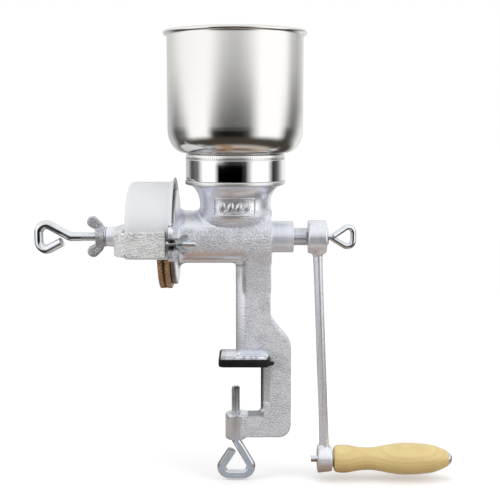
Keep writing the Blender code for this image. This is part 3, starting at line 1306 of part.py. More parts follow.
make_body()
make_pad()
make_fixed_disc()
make_rotating_disc()
make_auger()
make_drive_pin()
finish_piece(ball("thrust_ball", BALL_RADIUS), STEEL)
make_yoke()
make_yoke_bolt("yoke_bolt_front", -1)
make_yoke_bolt("yoke_bolt_rear", 1)
for nut_name, nut_side in (("wing_nut_front", -1), ("wing_nut_rear", 1)):
    nut_centre = (nut_side * BOLT_OFFSET, 0.0)
    SMALL_WING_NUT.build(nut_name, EAR_RIGHT + SEAT_GAP, 1, nut_centre, nut_side * NUT_LEAN, SMALL_STEPS)
LARGE_WING_NUT.build("lock_wing_nut", LOCK_NUT_SEAT, -1, (0.0, 0.0), 0.0, PIN_STEPS)
lock_washer_left = LOCK_WASHER_RIGHT - LOCK_WASHER_THICKNESS
make_washer(
    "lock_washer", lock_washer_left, LOCK_WASHER_THICKNESS, LOCK_WASHER_RADIUS, ROD_RADIUS + RUN_GAP
)
make_guard()
make_adjusting_screw()
make_clamp_screw()
make_collar()
make_bowl()
make_crank()
make_washer("crank_washer", CRANK_WASHER_LEFT, CRANK_WASHER_THICKNESS, CRANK_WASHER_RADIUS,
            CRANK_ROD_RADIUS + HOLE_GAP)
make_crank_screw()
make_grip()
make_handle_bolt()
make_washer("handle_washer", HANDLE_WASHER_LEFT, HANDLE_WASHER_THICKNESS, HANDLE_WASHER_RADIUS,
            HANDLE_BOLT_RADIUS + HOLE_GAP, (0.0, 0.0, -CRANK_THROW))
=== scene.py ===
"""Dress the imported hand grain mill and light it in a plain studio.

Sizes inside the classes are millimetres, counted from the shaft's axis below the hopper.
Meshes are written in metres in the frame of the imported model.
"""

import logging
import math
from dataclasses import dataclass
from enum import Enum
from typing import Iterable, Sequence

import bmesh
import bpy
import numpy as np
from bpy.types import ID, Material, Mesh, Node, NodeSocket, NodeTree, Object
from mathutils import Matrix, Vector

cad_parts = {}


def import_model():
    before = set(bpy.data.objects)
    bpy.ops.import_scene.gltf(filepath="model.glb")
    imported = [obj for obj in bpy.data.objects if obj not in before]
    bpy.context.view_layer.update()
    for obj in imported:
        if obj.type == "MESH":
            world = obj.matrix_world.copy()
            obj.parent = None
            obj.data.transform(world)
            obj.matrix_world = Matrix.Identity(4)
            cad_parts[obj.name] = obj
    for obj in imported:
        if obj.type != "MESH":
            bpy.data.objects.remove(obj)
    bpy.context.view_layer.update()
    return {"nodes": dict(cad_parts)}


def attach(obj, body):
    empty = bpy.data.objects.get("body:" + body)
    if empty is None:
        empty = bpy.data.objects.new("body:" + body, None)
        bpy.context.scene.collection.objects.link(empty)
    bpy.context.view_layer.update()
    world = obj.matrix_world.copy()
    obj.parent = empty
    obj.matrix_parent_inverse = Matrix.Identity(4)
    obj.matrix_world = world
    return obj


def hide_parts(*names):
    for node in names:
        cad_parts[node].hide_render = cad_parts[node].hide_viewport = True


LOG = logging.getLogger("hand_grain_mill")
MM = 0.001
SHAFT_HEIGHT = 133.5
SMOOTH_ANGLE = math.radians(32.0)
CENTRE = (0.0, 0.0, 0.0)
COLOUR_MIX_INPUTS = (0, 6, 7)  # the factor and the two colours of a Mix node
COLOUR_MIX_OUTPUT = 2

Flat = tuple[float, float]
Spot = tuple[float, float, float]
Colour = tuple[float, float, float]


class Axis(Enum):
    """The axis that a shape is turned about."""

    X = 0
    Y = 1
    Z = 2


class Plane(Enum):
    """The plane that an outline lies in."""

    XY = 2
    XZ = 1
    YZ = 0


class Body(Enum):
    """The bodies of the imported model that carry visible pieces."""

    FRAME = "frame"
    HOPPER = "hopper"
    ADJUSTER = "adjuster"
    ROTOR = "rotor"
    GRIP = "grip"
    CRANK_WASHER = "crank_washer"
    CRANK_SCREW = "crank_screw"
    LOCK_WASHER = "lock_washer"
    LOCK_NUT = "lock_nut"
    NUT_FRONT = "nut_front"
    NUT_REAR = "nut_rear"
    CLAMP_SCREW = "clamp_screw"


class Slot(Enum):
    """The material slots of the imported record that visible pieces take."""

    TINNED_IRON = "tinned_iron"
    CRANK_IRON = "crank_iron"
    DISC_IRON = "disc_iron"
    ZINC_STEEL = "zinc_steel"
    CAST_ZINC = "cast_zinc"
    SATIN_STEEL = "satin_steel"
    BRIGHT_STEEL = "bright_steel"
    WHITE_PAINT = "white_paint"
    RUBBER = "rubber"
    WOOD = "wood"


# Shader wiring


class Wiring:
    """Adds nodes to one node tree and links them."""

    def __init__(self, tree: NodeTree) -> None:
        """Keep the tree that nodes are added to."""
        self.tree = tree

    def add(self, kind: str, **settings: object) -> Node:
        """Add a node.

        Args:
            kind: Blender's name of the node type.
            settings: properties of the node.

        Returns:
            The new node.
        """
        node = self.tree.nodes.new(kind)
        for name, value in settings.items():
            setattr(node, name, value)
        return node

    def feed(self, socket: NodeSocket, value: object) -> None:
        """Link a socket to another, or set its plain value."""
        if isinstance(value, NodeSocket):
            self.tree.links.new(value, socket)
        else:
            socket.default_value = value

    def fill(self, node: Node, **values: object) -> Node:
        """Feed the node's inputs, named with underscores for spaces, and return the node."""
        for name, value in values.items():
            self.feed(node.inputs[name.replace("_", " ")], value)
        return node

    def math(self, operation: str, first: object, second: object = 0.0) -> NodeSocket:
        """Return the result of a Math node."""
        node = self.add("ShaderNodeMath", operation=operation)
        self.feed(node.inputs[0], first)
        self.feed(node.inputs[1], second)
        return node.outputs[0]

    def times(self, first: object, second: object) -> NodeSocket:
        """Return the product."""
        return self.math("MULTIPLY", first, second)

    def plus(self, first: object, second: object) -> NodeSocket:
        """Return the sum."""
        return self.math("ADD", first, second)

    def spread(self, value: object, low: float, high: float, to_low: float,
               to_high: float) -> NodeSocket:
        """Return a value mapped from one range to another, kept inside the second."""
        node = self.add("ShaderNodeMapRange", clamp=True)
        for index, entry in enumerate((value, low, high, to_low, to_high)):
            self.feed(node.inputs[index], entry)
        return node.outputs[0]

    def noise(self, vector: object, scale: object, detail: float = 2.0,
              roughness: float = 0.5) -> NodeSocket:
        """Return a noise value of the vector."""
        node = self.add("ShaderNodeTexNoise")
        return self.fill(node, Vector=vector, Scale=scale, Detail=detail, Roughness=roughness).outputs["Fac"]

    def stretched(self, vector: object, scale: Spot) -> NodeSocket:
        """Return the vector scaled by its own factor along each axis."""
        return self.fill(self.add("ShaderNodeMapping"), Vector=vector, Scale=scale).outputs["Vector"]

    def blend(self, factor: object, first: object, second: object) -> NodeSocket:
        """Return a mix of two colours."""
        node = self.add("ShaderNodeMix", data_type="RGBA")
        for index, value in zip(COLOUR_MIX_INPUTS, (factor, first, second)):
            self.feed(node.inputs[index], value)
        return node.outputs[COLOUR_MIX_OUTPUT]

    def ramp(self, factor: object, stops: Sequence[tuple[float, Colour]]) -> NodeSocket:
        """Add a colour ramp with its stops and return its colour."""
        node = self.fill(self.add("ShaderNodeValToRGB"), Fac=factor)
        marks = node.color_ramp.elements
        for index, (spot, colour) in enumerate(stops):
            mark = marks[index] if index < 2 else marks.new(spot)
            mark.position, mark.color = spot, shade(colour)
        return node.outputs["Color"]

    def bump(self, height: object, strength: float, distance: float) -> NodeSocket:
        """Return a normal raised by the height, with the distance in metres."""
        node = self.add("ShaderNodeBump")
        return self.fill(node, Strength=strength, Distance=distance, Height=height).outputs["Normal"]


def shade(colour: Colour) -> tuple[float, float, float, float]:
    """Return the colour with full alpha."""
    return (*colour, 1.0)


def new_material(name: str) -> tuple[Material, Wiring, Node]:
    """Return a material with its wiring and its shader."""
    material = bpy.data.materials.new(name)
    material.use_nodes = True
    return material, Wiring(material.node_tree), material.node_tree.nodes["Principled BSDF"]


class SharedEffects:
    """Shader node groups that several finishes place with their own values."""

    def __init__(self) -> None:
        """Build each group once."""
        self.grain = self._grain()
        self.lines = self._lines()
        self.stains = self._stains()

    @staticmethod
    def _start(name: str, inputs: Iterable[tuple[str, str]], outputs: Iterable[str]) -> tuple:
        """Return a new group's wiring, its input node and its output node."""
        tree = bpy.data.node_groups.new(name, "ShaderNodeTree")
        for label, kind in inputs:
            tree.interface.new_socket(name=label, in_out="INPUT", socket_type=kind)
        for label in outputs:
            tree.interface.new_socket(name=label, in_out="OUTPUT", socket_type="NodeSocketFloat")
        wiring = Wiring(tree)
        return wiring, wiring.add("NodeGroupInput"), wiring.add("NodeGroupOutput")

    def _grain(self) -> NodeTree:
        """Return the sand-cast grain: pebbled height, tone and gloss."""
        number = "NodeSocketFloat"
        inputs = (("Place", "NodeSocketVector"), ("Grain per metre", number), ("Swell per metre", number))
        wiring, source, target = self._start("sand cast grain", inputs, ("Height", "Tone", "Gloss"))
        place, fine, coarse = source.outputs[0], source.outputs[1], source.outputs[2]
        crest = wiring.spread(wiring.noise(place, fine, 1.0), 0.38, 0.62, 0.0, 1.0)
        swell = wiring.noise(place, coarse)
        patch = wiring.spread(wiring.noise(place, wiring.times(coarse, 0.6)), 0.38, 0.62, 0.5, 1.0)
        crest = wiring.times(crest, patch)
        wiring.fill(target, Height=wiring.plus(crest, wiring.times(swell, 0.5)),
                    Tone=wiring.plus(crest, wiring.math("SUBTRACT", 1.0, patch)), Gloss=crest)
        return wiring.tree

    def _lines(self) -> NodeTree:
        """Return fine parallel lines, drawn by whichever axis the place is stretched on."""
        inputs = (("Place", "NodeSocketVector"),)
        wiring, source, target = self._start("fine lines", inputs, ("Height", "Tone"))
        fine = wiring.noise(source.outputs[0], 1.0, 3.0, 0.7)
        broad = wiring.noise(source.outputs[0], 0.22)
        wiring.fill(target, Height=fine, Tone=wiring.spread(wiring.plus(fine, broad), 0.7, 1.3, 0.0, 1.0))
        return wiring.tree

    def _stains(self) -> NodeTree:
        """Return a mask of soft dull patches."""
        inputs = (("Place", "NodeSocketVector"), ("Patches per metre", "NodeSocketFloat"))
        wiring, source, target = self._start("soft stains", inputs, ("Mask",))
        cloud = wiring.noise(source.outputs[0], source.outputs[1], 4.0, 0.6)
        wiring.fill(target, Mask=wiring.spread(cloud, 0.42, 0.72, 0.0, 1.0))
        return wiring.tree


@dataclass(frozen=True)
class Finish:
    """A plain finish that the others extend."""

    name: str
    colour: Colour
    roughness: float
    metallic: float

    def start(self) -> tuple[Material, Wiring, Node, NodeSocket]:
        """Return a new material with its wiring, its shader and the object coordinates."""
        material, wiring, shader = new_material(self.name)
        wiring.fill(shader, Base_Color=shade(self.colour), Roughness=self.roughness, Metallic=self.metallic)
        return material, wiring, shader, wiring.add("ShaderNodeTexCoord").outputs["Object"]

    @staticmethod
    def effect(wiring: Wiring, group: NodeTree, place: object, **values: float) -> Node:
        """Place a shared effect.

        Args:
            wiring: the material's wiring.
            group: the shared node group.
            place: the vector that it reads.
            values: its other inputs, with spaces written as underscores.

        Returns:
            The group node.
        """
        return wiring.fill(wiring.add("ShaderNodeGroup", node_tree=group), Place=place, **values)

    @staticmethod
    def scaled(colour: Colour, share: float) -> tuple[float, float, float, float]:
        """Return the colour times a share, with full alpha."""
        return shade(tuple(part * share for part in colour))


@dataclass(frozen=True)
class CastFinish(Finish):
    """Sand-cast metal, pebbled and tinned or bare, polished where the piece's smooth_zone says so, and
    darkened by painted shade where its shade mask says so.
    """

    shadow: Colour
    grain: float
    swell: float
    depth: float
    strength: float
    # painted shade: the dark colour that the casting takes where its shade mask marks gaps, crevices and
    # shaded sides
    painted_shade: Colour = (0.060, 0.052, 0.048)
    patches: float = 38.0
    patch_tone: float = 0.88
    patch_share: float = 0.3
    gloss: Flat = (0.12, -0.08)
    bared: float = 0.28

    def build(self, effects: SharedEffects) -> Material:
        """Return the material."""
        material, wiring, shader, place = self.start()
        smooth = wiring.add("ShaderNodeAttribute", attribute_name="smooth_zone").outputs["Fac"]
        rough_share = wiring.math("SUBTRACT", 1.0, smooth)
        grain = self.effect(wiring, effects.grain, place, Grain_per_metre=self.grain,
                            Swell_per_metre=self.swell)
        stains = self.effect(wiring, effects.stains, place, Patches_per_metre=self.patches)
        pits = wiring.times(wiring.math("SUBTRACT", 1.0, grain.outputs["Tone"]), rough_share)
        tone = wiring.blend(pits, shade(self.colour), shade(self.shadow))
        stained = wiring.times(stains.outputs["Mask"], self.patch_share)
        tone = wiring.blend(stained, tone, self.scaled(self.colour, self.patch_tone))
        # painted shade: the per-point shade mask blends the colour towards the painted shade colour
        painted_shade_mask = wiring.add("ShaderNodeAttribute", attribute_name="painted_shade").outputs["Fac"]
        gloss = wiring.times(wiring.spread(grain.outputs["Gloss"], 0.0, 1.0, *self.gloss), rough_share)
        polish = wiring.spread(smooth, 0.0, 1.0, self.roughness, self.roughness - 0.01)
        bare = min(self.metallic + self.bared, 1.0)
        height = wiring.times(grain.outputs["Height"], rough_share)
        wiring.fill(shader, Base_Color=wiring.blend(painted_shade_mask, tone, shade(self.painted_shade)),
                    Metallic=wiring.spread(smooth, 0.0, 1.0, self.metallic, bare),
                    Roughness=wiring.plus(gloss, polish),
                    Normal=wiring.bump(height, self.strength, self.depth))
        return material


@dataclass(frozen=True)
class LinedFinish(Finish):
    """Metal with fine parallel lines from turning, spinning or drawing."""

    stretch: Spot = (6.0, 6.0, 2200.0)
    strength: float = 0.10
    depth: float = 0.0001
    spread: float = 0.05
    shadow_share: float = 0.90
    patches: float = 30.0

    def build(self, effects: SharedEffects) -> Material:
        """Return the material."""
        material, wiring, shader, place = self.start()
        lines = self.effect(wiring, effects.lines, wiring.stretched(place, self.stretch))
        stains = self.effect(wiring, effects.stains, place, Patches_per_metre=self.patches)
        tone = lines.outputs["Tone"]
        rough = wiring.plus(wiring.times(tone, self.spread), self.roughness)
        shadow = self.scaled(self.colour, self.shadow_share)
        wiring.fill(shader, Base_Color=wiring.blend(tone, shadow, shade(self.colour)),
                    Roughness=wiring.plus(rough, wiring.times(stains.outputs["Mask"], self.spread)),
                    Normal=wiring.bump(lines.outputs["Height"], self.strength, self.depth))
        return material


@dataclass(frozen=True)
class CoatFinish(Finish):
    """Paint or rubber: an even skin with a faint orange peel and soft dust."""

    peel: float = 300.0
    strength: float = 0.12
    dust: Colour = (0.70, 0.70, 0.69)
    dusting: float = 0.08
    specular: float = 0.5
    patches: float = 45.0
    dulling: float = 0.12
    depth: float = 0.0003

    def build(self, effects: SharedEffects) -> Material:
        """Return the material."""
        material, wiring, shader, place = self.start()
        stains = self.effect(wiring, effects.stains, place, Patches_per_metre=self.patches).outputs["Mask"]
        peel = wiring.noise(place, self.peel, 3.0, 0.55)
        dusted = wiring.times(stains, self.dusting)
        wiring.fill(shader, Specular_IOR_Level=self.specular,
                    Normal=wiring.bump(peel, self.strength, self.depth),
                    Base_Color=wiring.blend(dusted, shade(self.colour), shade(self.dust)),
                    Roughness=wiring.spread(stains, 0.0, 1.0, self.roughness, self.roughness + self.dulling))
        return material


@dataclass(frozen=True)
class WoodFinish(Finish):
    """Pale lacquered wood with its grain along X."""

    late: Colour = (0.56, 0.38, 0.16)
    warm: Colour = (0.72, 0.50, 0.20)
    heart: Spot = (0.0, -0.012, 0.135)
    heart_stretch: Spot = (0.35, 1.0, 1.0)
    ring_share: float = 0.24
    warm_share: float = 0.45
    patches: float = 26.0

    def build(self, effects: SharedEffects) -> Material:
        """Return the material."""
        material, wiring, shader, place = self.start()
        warp = wiring.noise(wiring.stretched(place, (6.0, 30.0, 30.0)), 1.0)
        centred = wiring.fill(wiring.add("ShaderNodeMapping"), Vector=place, Location=self.heart,
                              Scale=self.heart_stretch)
        rings = wiring.add("ShaderNodeTexWave", wave_type="RINGS", rings_direction="X", wave_profile="SAW")
        wiring.fill(rings, Vector=centred.outputs["Vector"], Scale=95.0, Distortion=2.2, Detail=2.0,
                    Phase_Offset=wiring.times(warp, 4.0))
        pores = wiring.noise(wiring.stretched(place, (90.0, 1500.0, 1500.0)), 1.0, 3.0, 0.6)
        figure = wiring.times(wiring.spread(rings.outputs["Fac"], 0.35, 1.0, 0.0, 1.0), self.ring_share)
        base = wiring.blend(figure, shade(self.colour), shade(self.late))
        stains = self.effect(wiring, effects.stains, place, Patches_per_metre=self.patches)
        base = wiring.blend(wiring.times(stains.outputs["Mask"], self.warm_share), base, shade(self.warm))
        darker = wiring.spread(pores, 0.58, 0.75, 0.0, 0.35)
        wiring.fill(shader, Base_Color=wiring.blend(darker, base, shade(self.late)),
                    Roughness=wiring.spread(pores, 0.3, 0.7, self.roughness - 0.05, self.roughness + 0.1),
                    Normal=wiring.bump(pores, 0.10, 0.0002), Coat_Weight=0.35, Coat_Roughness=0.18)
        return material


def evenly(value: float) -> Spot:
    """Return the value for all three axes."""
    return (value, value, value)


class Finishes:
    """Every material of the mill."""

    looks = {
        "casting": CastFinish("tinned casting", (0.91, 0.935, 1.0), 0.25, 0.5, shadow=(0.72, 0.735, 0.79),
                              grain=690.0, swell=110.0, depth=0.0010, strength=0.8),
        "yoke": CastFinish("coarse tinned casting", evenly(0.99), 0.28, 0.40, shadow=(0.52, 0.53, 0.54),
                           grain=640.0, swell=130.0, depth=0.0009, strength=0.9),
        "crank": LinedFinish("smooth tinned casting", (0.91, 0.935, 1.0), 0.22, 0.6,
                             stretch=(300.0, 300.0, 9.0), strength=0.35, depth=0.0005, spread=0.08,
                             shadow_share=0.84),
        "wing": CastFinish("cast zinc", (0.66, 0.68, 0.71), 0.30, 0.75, shadow=(0.42, 0.44, 0.47),
                           grain=620.0, swell=130.0, depth=0.0005, strength=0.7),
        "disc": CastFinish("warm bare iron", (0.56, 0.37, 0.22), 0.36, 0.60, shadow=(0.26, 0.15, 0.08),
                           grain=420.0, swell=60.0, depth=0.0004, strength=0.4),
        "machined": LinedFinish("machined tinned iron", (0.89, 0.92, 1.0), 0.30, 0.48,
                                stretch=(1500.0, 8.0, 8.0), strength=0.16, depth=0.00012, spread=0.06,
                                shadow_share=0.84),
        "shaft": LinedFinish("turned shaft", (0.74, 0.77, 0.84), 0.28, 0.65, stretch=(1300.0, 8.0, 8.0),
                             strength=0.14, depth=0.00012, spread=0.06, shadow_share=0.80),
        "rim": LinedFinish("turned neck rim", (0.84, 0.84, 0.86), 0.26, 0.85),
        "bowl": LinedFinish("satin spun steel", (0.82, 0.81, 0.785), 0.16, 1.0, stretch=(1.5, 1.5, 600.0),
                            strength=0.01, depth=0.00005, spread=0.02, shadow_share=0.98),
        "collar": LinedFinish("mirror steel", (0.88, 0.88, 0.87), 0.03, 1.0, stretch=(3.0, 3.0, 500.0),
                              strength=0.0, depth=0.00005, spread=0.02, shadow_share=0.97),
        "zinc": LinedFinish("zinc plating", (0.86, 0.89, 0.93), 0.13, 1.0, stretch=evenly(130.0),
                            depth=0.0002, spread=0.09, shadow_share=0.86),
        # painted shade: the big screws' cores are near black so that the valleys between the thread's crests
        # look shaded
        "root": LinedFinish("thread root in painted shade", evenly(0.09), 0.42, 0.7, stretch=evenly(200.0),
                            strength=0.05, shadow_share=0.8),
        "thread": LinedFinish("dark steel thread", (0.38, 0.38, 0.375), 0.22, 1.0, stretch=evenly(200.0),
                              strength=0.05, shadow_share=0.8),
        "dull_zinc": LinedFinish("dull zinc plating", (0.36, 0.38, 0.40), 0.24, 1.0, stretch=evenly(130.0),
                                 depth=0.0002, spread=0.09, shadow_share=0.86),
        "steel": LinedFinish("hard steel", (0.60, 0.60, 0.61), 0.2, 1.0, stretch=evenly(200.0),
                             strength=0.05),
        "paint": CoatFinish("white satin paint", (0.78, 0.80, 0.82), 0.36, 0.0),
        "rubber": CoatFinish("black rubber", (0.010, 0.010, 0.011), 0.34, 0.0, peel=500.0, dust=evenly(0.08),
                             dusting=0.15, specular=0.18),
        "wood": WoodFinish("lacquered beech", (0.86, 0.69, 0.30), 0.36, 0.0),
    }

    def __init__(self) -> None:
        """Build the shared effects and the materials, each under its own name."""
        effects = SharedEffects()
        for word, look in self.looks.items():
            setattr(self, word, look.build(effects))


# Meshes


def to_frame(spots: np.ndarray) -> np.ndarray:
    """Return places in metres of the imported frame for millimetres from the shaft."""
    return (np.asarray(spots, dtype=float) + np.array((0.0, 0.0, SHAFT_HEIGHT))) * MM


def shift_to(spot: Spot) -> Matrix:
    """Return the move from the frame's origin to a place in millimetres from the shaft."""
    return Matrix.Translation(to_frame(spot).tolist())


def placed(name: str, data: ID) -> Object:
    """Return a new object of the data, linked to the scene."""
    piece = bpy.data.objects.new(name, data)
    bpy.context.scene.collection.objects.link(piece)
    return piece


def mesh_piece(name: str, spots: np.ndarray, faces: Sequence, finish: Material) -> Object:
    """Return an object of the faces, smooth but for its sharp edges."""
    mesh = bpy.data.meshes.new(name)
    mesh.from_pydata(to_frame(spots).tolist(), [], faces)
    return mesh_object(name, mesh, finish)


def mesh_object(name: str, mesh: Mesh, finish: Material) -> Object:
    """Return an object that shows the mesh in the finish."""
    mesh.materials.clear()
    mesh.materials.append(finish)
    mesh.shade_smooth()
    mesh.set_sharp_from_angle(angle=SMOOTH_ANGLE)
    return placed(name, mesh)


def modify(piece: Object, kind: str, **settings: object) -> None:
    """Give the piece a modifier with its settings."""
    modifier = piece.modifiers.new(kind, kind)
    for name, value in settings.items():
        setattr(modifier, name, value)


def settle(piece: Object, finish: Material, outward: bool = True) -> Object:
    """Return a plain mesh object of what the piece's modifiers make."""
    depsgraph = bpy.context.evaluated_depsgraph_get()
    mesh = bpy.data.meshes.new_from_object(piece.evaluated_get(depsgraph), depsgraph=depsgraph)
    name = piece.name
    bpy.data.objects.remove(piece, do_unlink=True)
    bm = bmesh.new()
    bm.from_mesh(mesh)
    bmesh.ops.remove_doubles(bm, verts=bm.verts, dist=0.000002)
    if outward:
        bmesh.ops.recalc_face_normals(bm, faces=bm.faces)
    bm.to_mesh(mesh)
    bm.free()
    mesh.name = name
    return mesh_object(name, mesh, finish)


def joined(name: str, parts: Sequence[Object]) -> Object:
    """Return one object of the parts, in the first part's finish order."""
    bm = bmesh.new()
    finishes: list[Material] = []
    for part in parts:
        start = len(bm.faces)
        bm.from_mesh(part.data)
        bm.faces.ensure_lookup_table()
        finish = part.data.materials[0]
        if finish not in finishes:
            finishes.append(finish)
        for face in bm.faces[start:]:
            face.material_index = finishes.index(finish)
    mesh = bpy.data.meshes.new(name)
    bm.to_mesh(mesh)
    bm.free()
    for part in parts:
        bpy.data.objects.remove(part, do_unlink=True)
    whole = mesh_object(name, mesh, finishes[0])
    for finish in finishes[1:]:
        mesh.materials.append(finish)
    return whole


def enter(piece: Object, body: Body, slot: Slot, *nodes: str) -> None:
    """Make the piece ride on its body and hide the nodes that it stands for."""
    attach(piece, body.value)
    if nodes:
        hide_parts(*nodes)
    LOG.info("%s rides on %s with %d faces", piece.name, body.value, len(piece.data.polygons))


def arc(centre: Flat, radii: Flat, start: float, end: float, steps: int = 8) -> list[Flat]:
    """Return points of an ellipse arc between two angles in degrees."""
    turns = [math.radians(start + (end - start) * index / steps) for index in range(steps + 1)]
    return [(centre[0] + radii[0] * math.cos(turn), centre[1] + radii[1] * math.sin(turn)) for turn in turns]


def softened(corners: Sequence[Spot], closed: bool = False, steps: int = 5) -> list[Flat]:
    """Return an outline with round corners.

    Args:
        corners: each corner's two coordinates and the radius of its rounding.
        closed: whether the outline runs back to its start.
        steps: pieces of each rounding.

    Returns:
        The points of the outline.
    """
    points: list[Flat] = []
    count = len(corners)
    for index, (along, out, radius) in enumerate(corners):
        corner = Vector((along, out))
        ends = not closed and index in (0, count - 1)
        if radius <= 0.0 or ends:
            points.append((along, out))
            continue
        before = (Vector(corners[index - 1][:2]) - corner)
        after = (Vector(corners[(index + 1) % count][:2]) - corner)
        reach = min(radius, before.length * 0.49, after.length * 0.49)
        first = corner + before.normalized() * reach
        last = corner + after.normalized() * reach
        for step in range(steps + 1):
            share = step / steps
            spot = first * (1 - share) ** 2 + corner * 2 * share * (1 - share) + last * share ** 2
            points.append((spot.x, spot.y))
    return points


def pane(left: float, low: float, right: float, high: float, corner: float) -> list[Flat]:
    """Return a rectangle with round corners."""
    spots = ((left, low), (right, low), (right, high), (left, high))
    return softened([(*spot, corner) for spot in spots], closed=True)


def swapped(points: Sequence[Flat]) -> list[Flat]:
    """Return the points with their two coordinates exchanged, as a profile about Z needs them."""
    return [(up, out) for out, up in points]

def flowing(points: Sequence[Flat], steps: int = 5) -> list[Flat]:
    """Return a smooth line through the points."""
    ends = [points[0], *points, points[-1]]
    line: list[Flat] = []
    for index in range(1, len(ends) - 2):
        window = [Vector(spot) for spot in ends[index - 1:index + 3]]
        for step in range(steps):
            share = step / steps
            spot = 0.5 * (
                2 * window[1]
                + (window[2] - window[0]) * share
                + (2 * window[0] - 5 * window[1] + 4 * window[2] - window[3]) * share ** 2
                + (3 * window[1] - window[0] - 3 * window[2] + window[3]) * share ** 3
            )
            line.append((spot.x, spot.y))
    return [*line, tuple(points[-1])]


def lathe(name: str, profile: Sequence[Flat], axis: Axis, finish: Material, steps: int = 128,
          centre: Spot = CENTRE, closed: bool = False) -> Object:
    """Return a turned shape.

    Args:
        name: the object's name.
        profile: places along the axis with their radii.
        axis: the axis it is turned about.
        finish: its material.
        steps: facets round the axis.
        centre: a point that the axis passes.
        closed: whether the profile runs back to its start, as a ring's does.

    Returns:
        The object.
    """
    turns = np.arange(steps) * (2 * math.pi / steps)
    spots: list[np.ndarray] = []
    rows: list[list[int]] = []
    total = 0
    for along, radius in profile:
        count = 1 if radius < 1e-6 else steps
        ring = np.zeros((count, 3))
        across, up = {Axis.X: (1, 2), Axis.Y: (2, 0), Axis.Z: (0, 1)}[axis]
        ring[:, axis.value] = along
        ring[:, across] = radius * np.cos(turns[:count])
        ring[:, up] = radius * np.sin(turns[:count])
        spots.append(ring + np.array(centre))
        rows.append([total + index % count for index in range(steps)])
        total += count
    pairs = list(zip(rows, rows[1:]))
    if closed:
        pairs.append((rows[-1], rows[0]))
    faces = []
    for lower, upper in pairs:
        for index in range(steps):
            after = (index + 1) % steps
            loop = [lower[index], lower[after], upper[after], upper[index]]
            faces.append([spot for order, spot in enumerate(loop) if spot not in loop[:order]])
    piece = mesh_piece(name, np.concatenate(spots), [face for face in faces if len(face) > 2], finish)
    return settle(piece, finish)


def washer(name: str, ends: Flat, bore: float, radius: float, edge: float, finish: Material,
           centre: Spot = CENTRE) -> Object:
    """Return a flat ring round a screw along X, with its outer edges rounded."""
    left, right = ends
    corners = ((left, bore, 0.2), (left, radius, edge), (right, radius, edge), (right, bore, 0.2))
    return lathe(name, softened(corners, closed=True), Axis.X, finish, 64, centre, closed=True)


def bar(name: str, low: Spot, high: Spot, finish: Material, edge: float = 0.0) -> Object:
    """Return a block between two corners, with its edges rounded if asked."""
    spots = [(x, y, z) for x in (low[0], high[0]) for y in (low[1], high[1]) for z in (low[2], high[2])]
    faces = [(0, 1, 3, 2), (4, 6, 7, 5), (0, 4, 5, 1), (2, 3, 7, 6), (0, 2, 6, 4), (1, 5, 7, 3)]
    piece = mesh_piece(name, np.array(spots), faces, finish)
    if edge > 0.0:
        modify(piece, "BEVEL", width=edge * MM, segments=3)
        piece = settle(piece, finish)
    return piece


def cut_away(piece: Object, tools: Sequence[Object], finish: Material,
             edge: float = 0.0) -> Object:
    """Return the piece without the tools, with its new edges rounded if asked."""
    for tool in tools:
        modify(piece, "BOOLEAN", operation="DIFFERENCE", solver="EXACT", object=tool)
    if edge > 0.0:
        modify(piece, "BEVEL", width=edge * MM, segments=2, limit_method="ANGLE",
               angle_limit=math.radians(50.0))
    whole = settle(piece, finish, outward=False)
    for tool in tools:
        bpy.data.objects.remove(tool, do_unlink=True)
    return whole


def wire(name: str, route: Sequence[Vector], radius: float, finish: Material, closed: bool = False,
         sides: int = 6) -> Object:
    """Return a round rod that follows the route, in millimetres."""
    curve = bpy.data.curves.new(name, "CURVE")
    curve.dimensions = "3D"
    curve.bevel_depth = radius * MM
    curve.bevel_resolution = sides
    curve.use_fill_caps = True
    spline = curve.splines.new("POLY")
    spline.points.add(len(route) - 1)
    spline.use_cyclic_u = closed
    for point, spot in zip(spline.points, to_frame(np.array([tuple(spot) for spot in route]))):
        point.co = (*spot, 1.0)
    return settle(placed(name, curve), finish)


def bent_route(corners: Sequence[Spot], radii: Sequence[float], turn: float = 7.0) -> list[Vector]:
    """Return a route through the corners with each bend rounded.

    Args:
        corners: the ends and the corners.
        radii: the bend radius at each inner corner.
        turn: degrees between the points of a bend.

    Returns:
        The points of the route.
    """
    route = [Vector(corners[0])]
    for before, corner, after, radius in zip(corners, corners[1:], corners[2:], radii):
        back = (Vector(before) - Vector(corner)).normalized()
        onward = (Vector(after) - Vector(corner)).normalized()
        half = back.angle(onward) / 2
        centre = Vector(corner) + (back + onward).normalized() * (radius / math.sin(half))
        start = Vector(corner) + back * (radius / math.tan(half)) - centre
        end = Vector(corner) + onward * (radius / math.tan(half)) - centre
        sweep = start.angle(end)
        steps = max(3, math.ceil(math.degrees(sweep) / turn))
        axis = start.cross(end).normalized()
        for index in range(steps + 1):
            route.append(centre + Matrix.Rotation(sweep * index / steps, 3, axis) @ start)
    route.append(Vector(corners[-1]))
    return route


# Castings as blended fields


def outline_distance(across: np.ndarray, up: np.ndarray, outline: Sequence[Flat]) -> np.ndarray:
    """Return the distance of each point to a closed outline, negative inside."""
    across, up = np.broadcast_arrays(across, up)
    nearest = np.full(across.shape, np.inf)
    inside = np.zeros(across.shape, dtype=bool)
    for (ax, ay), (bx, by) in zip(outline, [*outline[1:], outline[0]]):
        ex, ey = bx - ax, by - ay
        length = ex * ex + ey * ey
        if length == 0.0:
            continue
        share = np.clip(((across - ax) * ex + (up - ay) * ey) / length, 0.0, 1.0)
        nearest = np.minimum(nearest, (across - ax - share * ex) ** 2 + (up - ay - share * ey) ** 2)
        if ay != by:
            crosses = ((ay > up) != (by > up)) & (across < ex * (up - ay) / ey + ax)
            inside ^= crosses
    return np.where(inside, -1.0, 1.0) * np.sqrt(nearest)


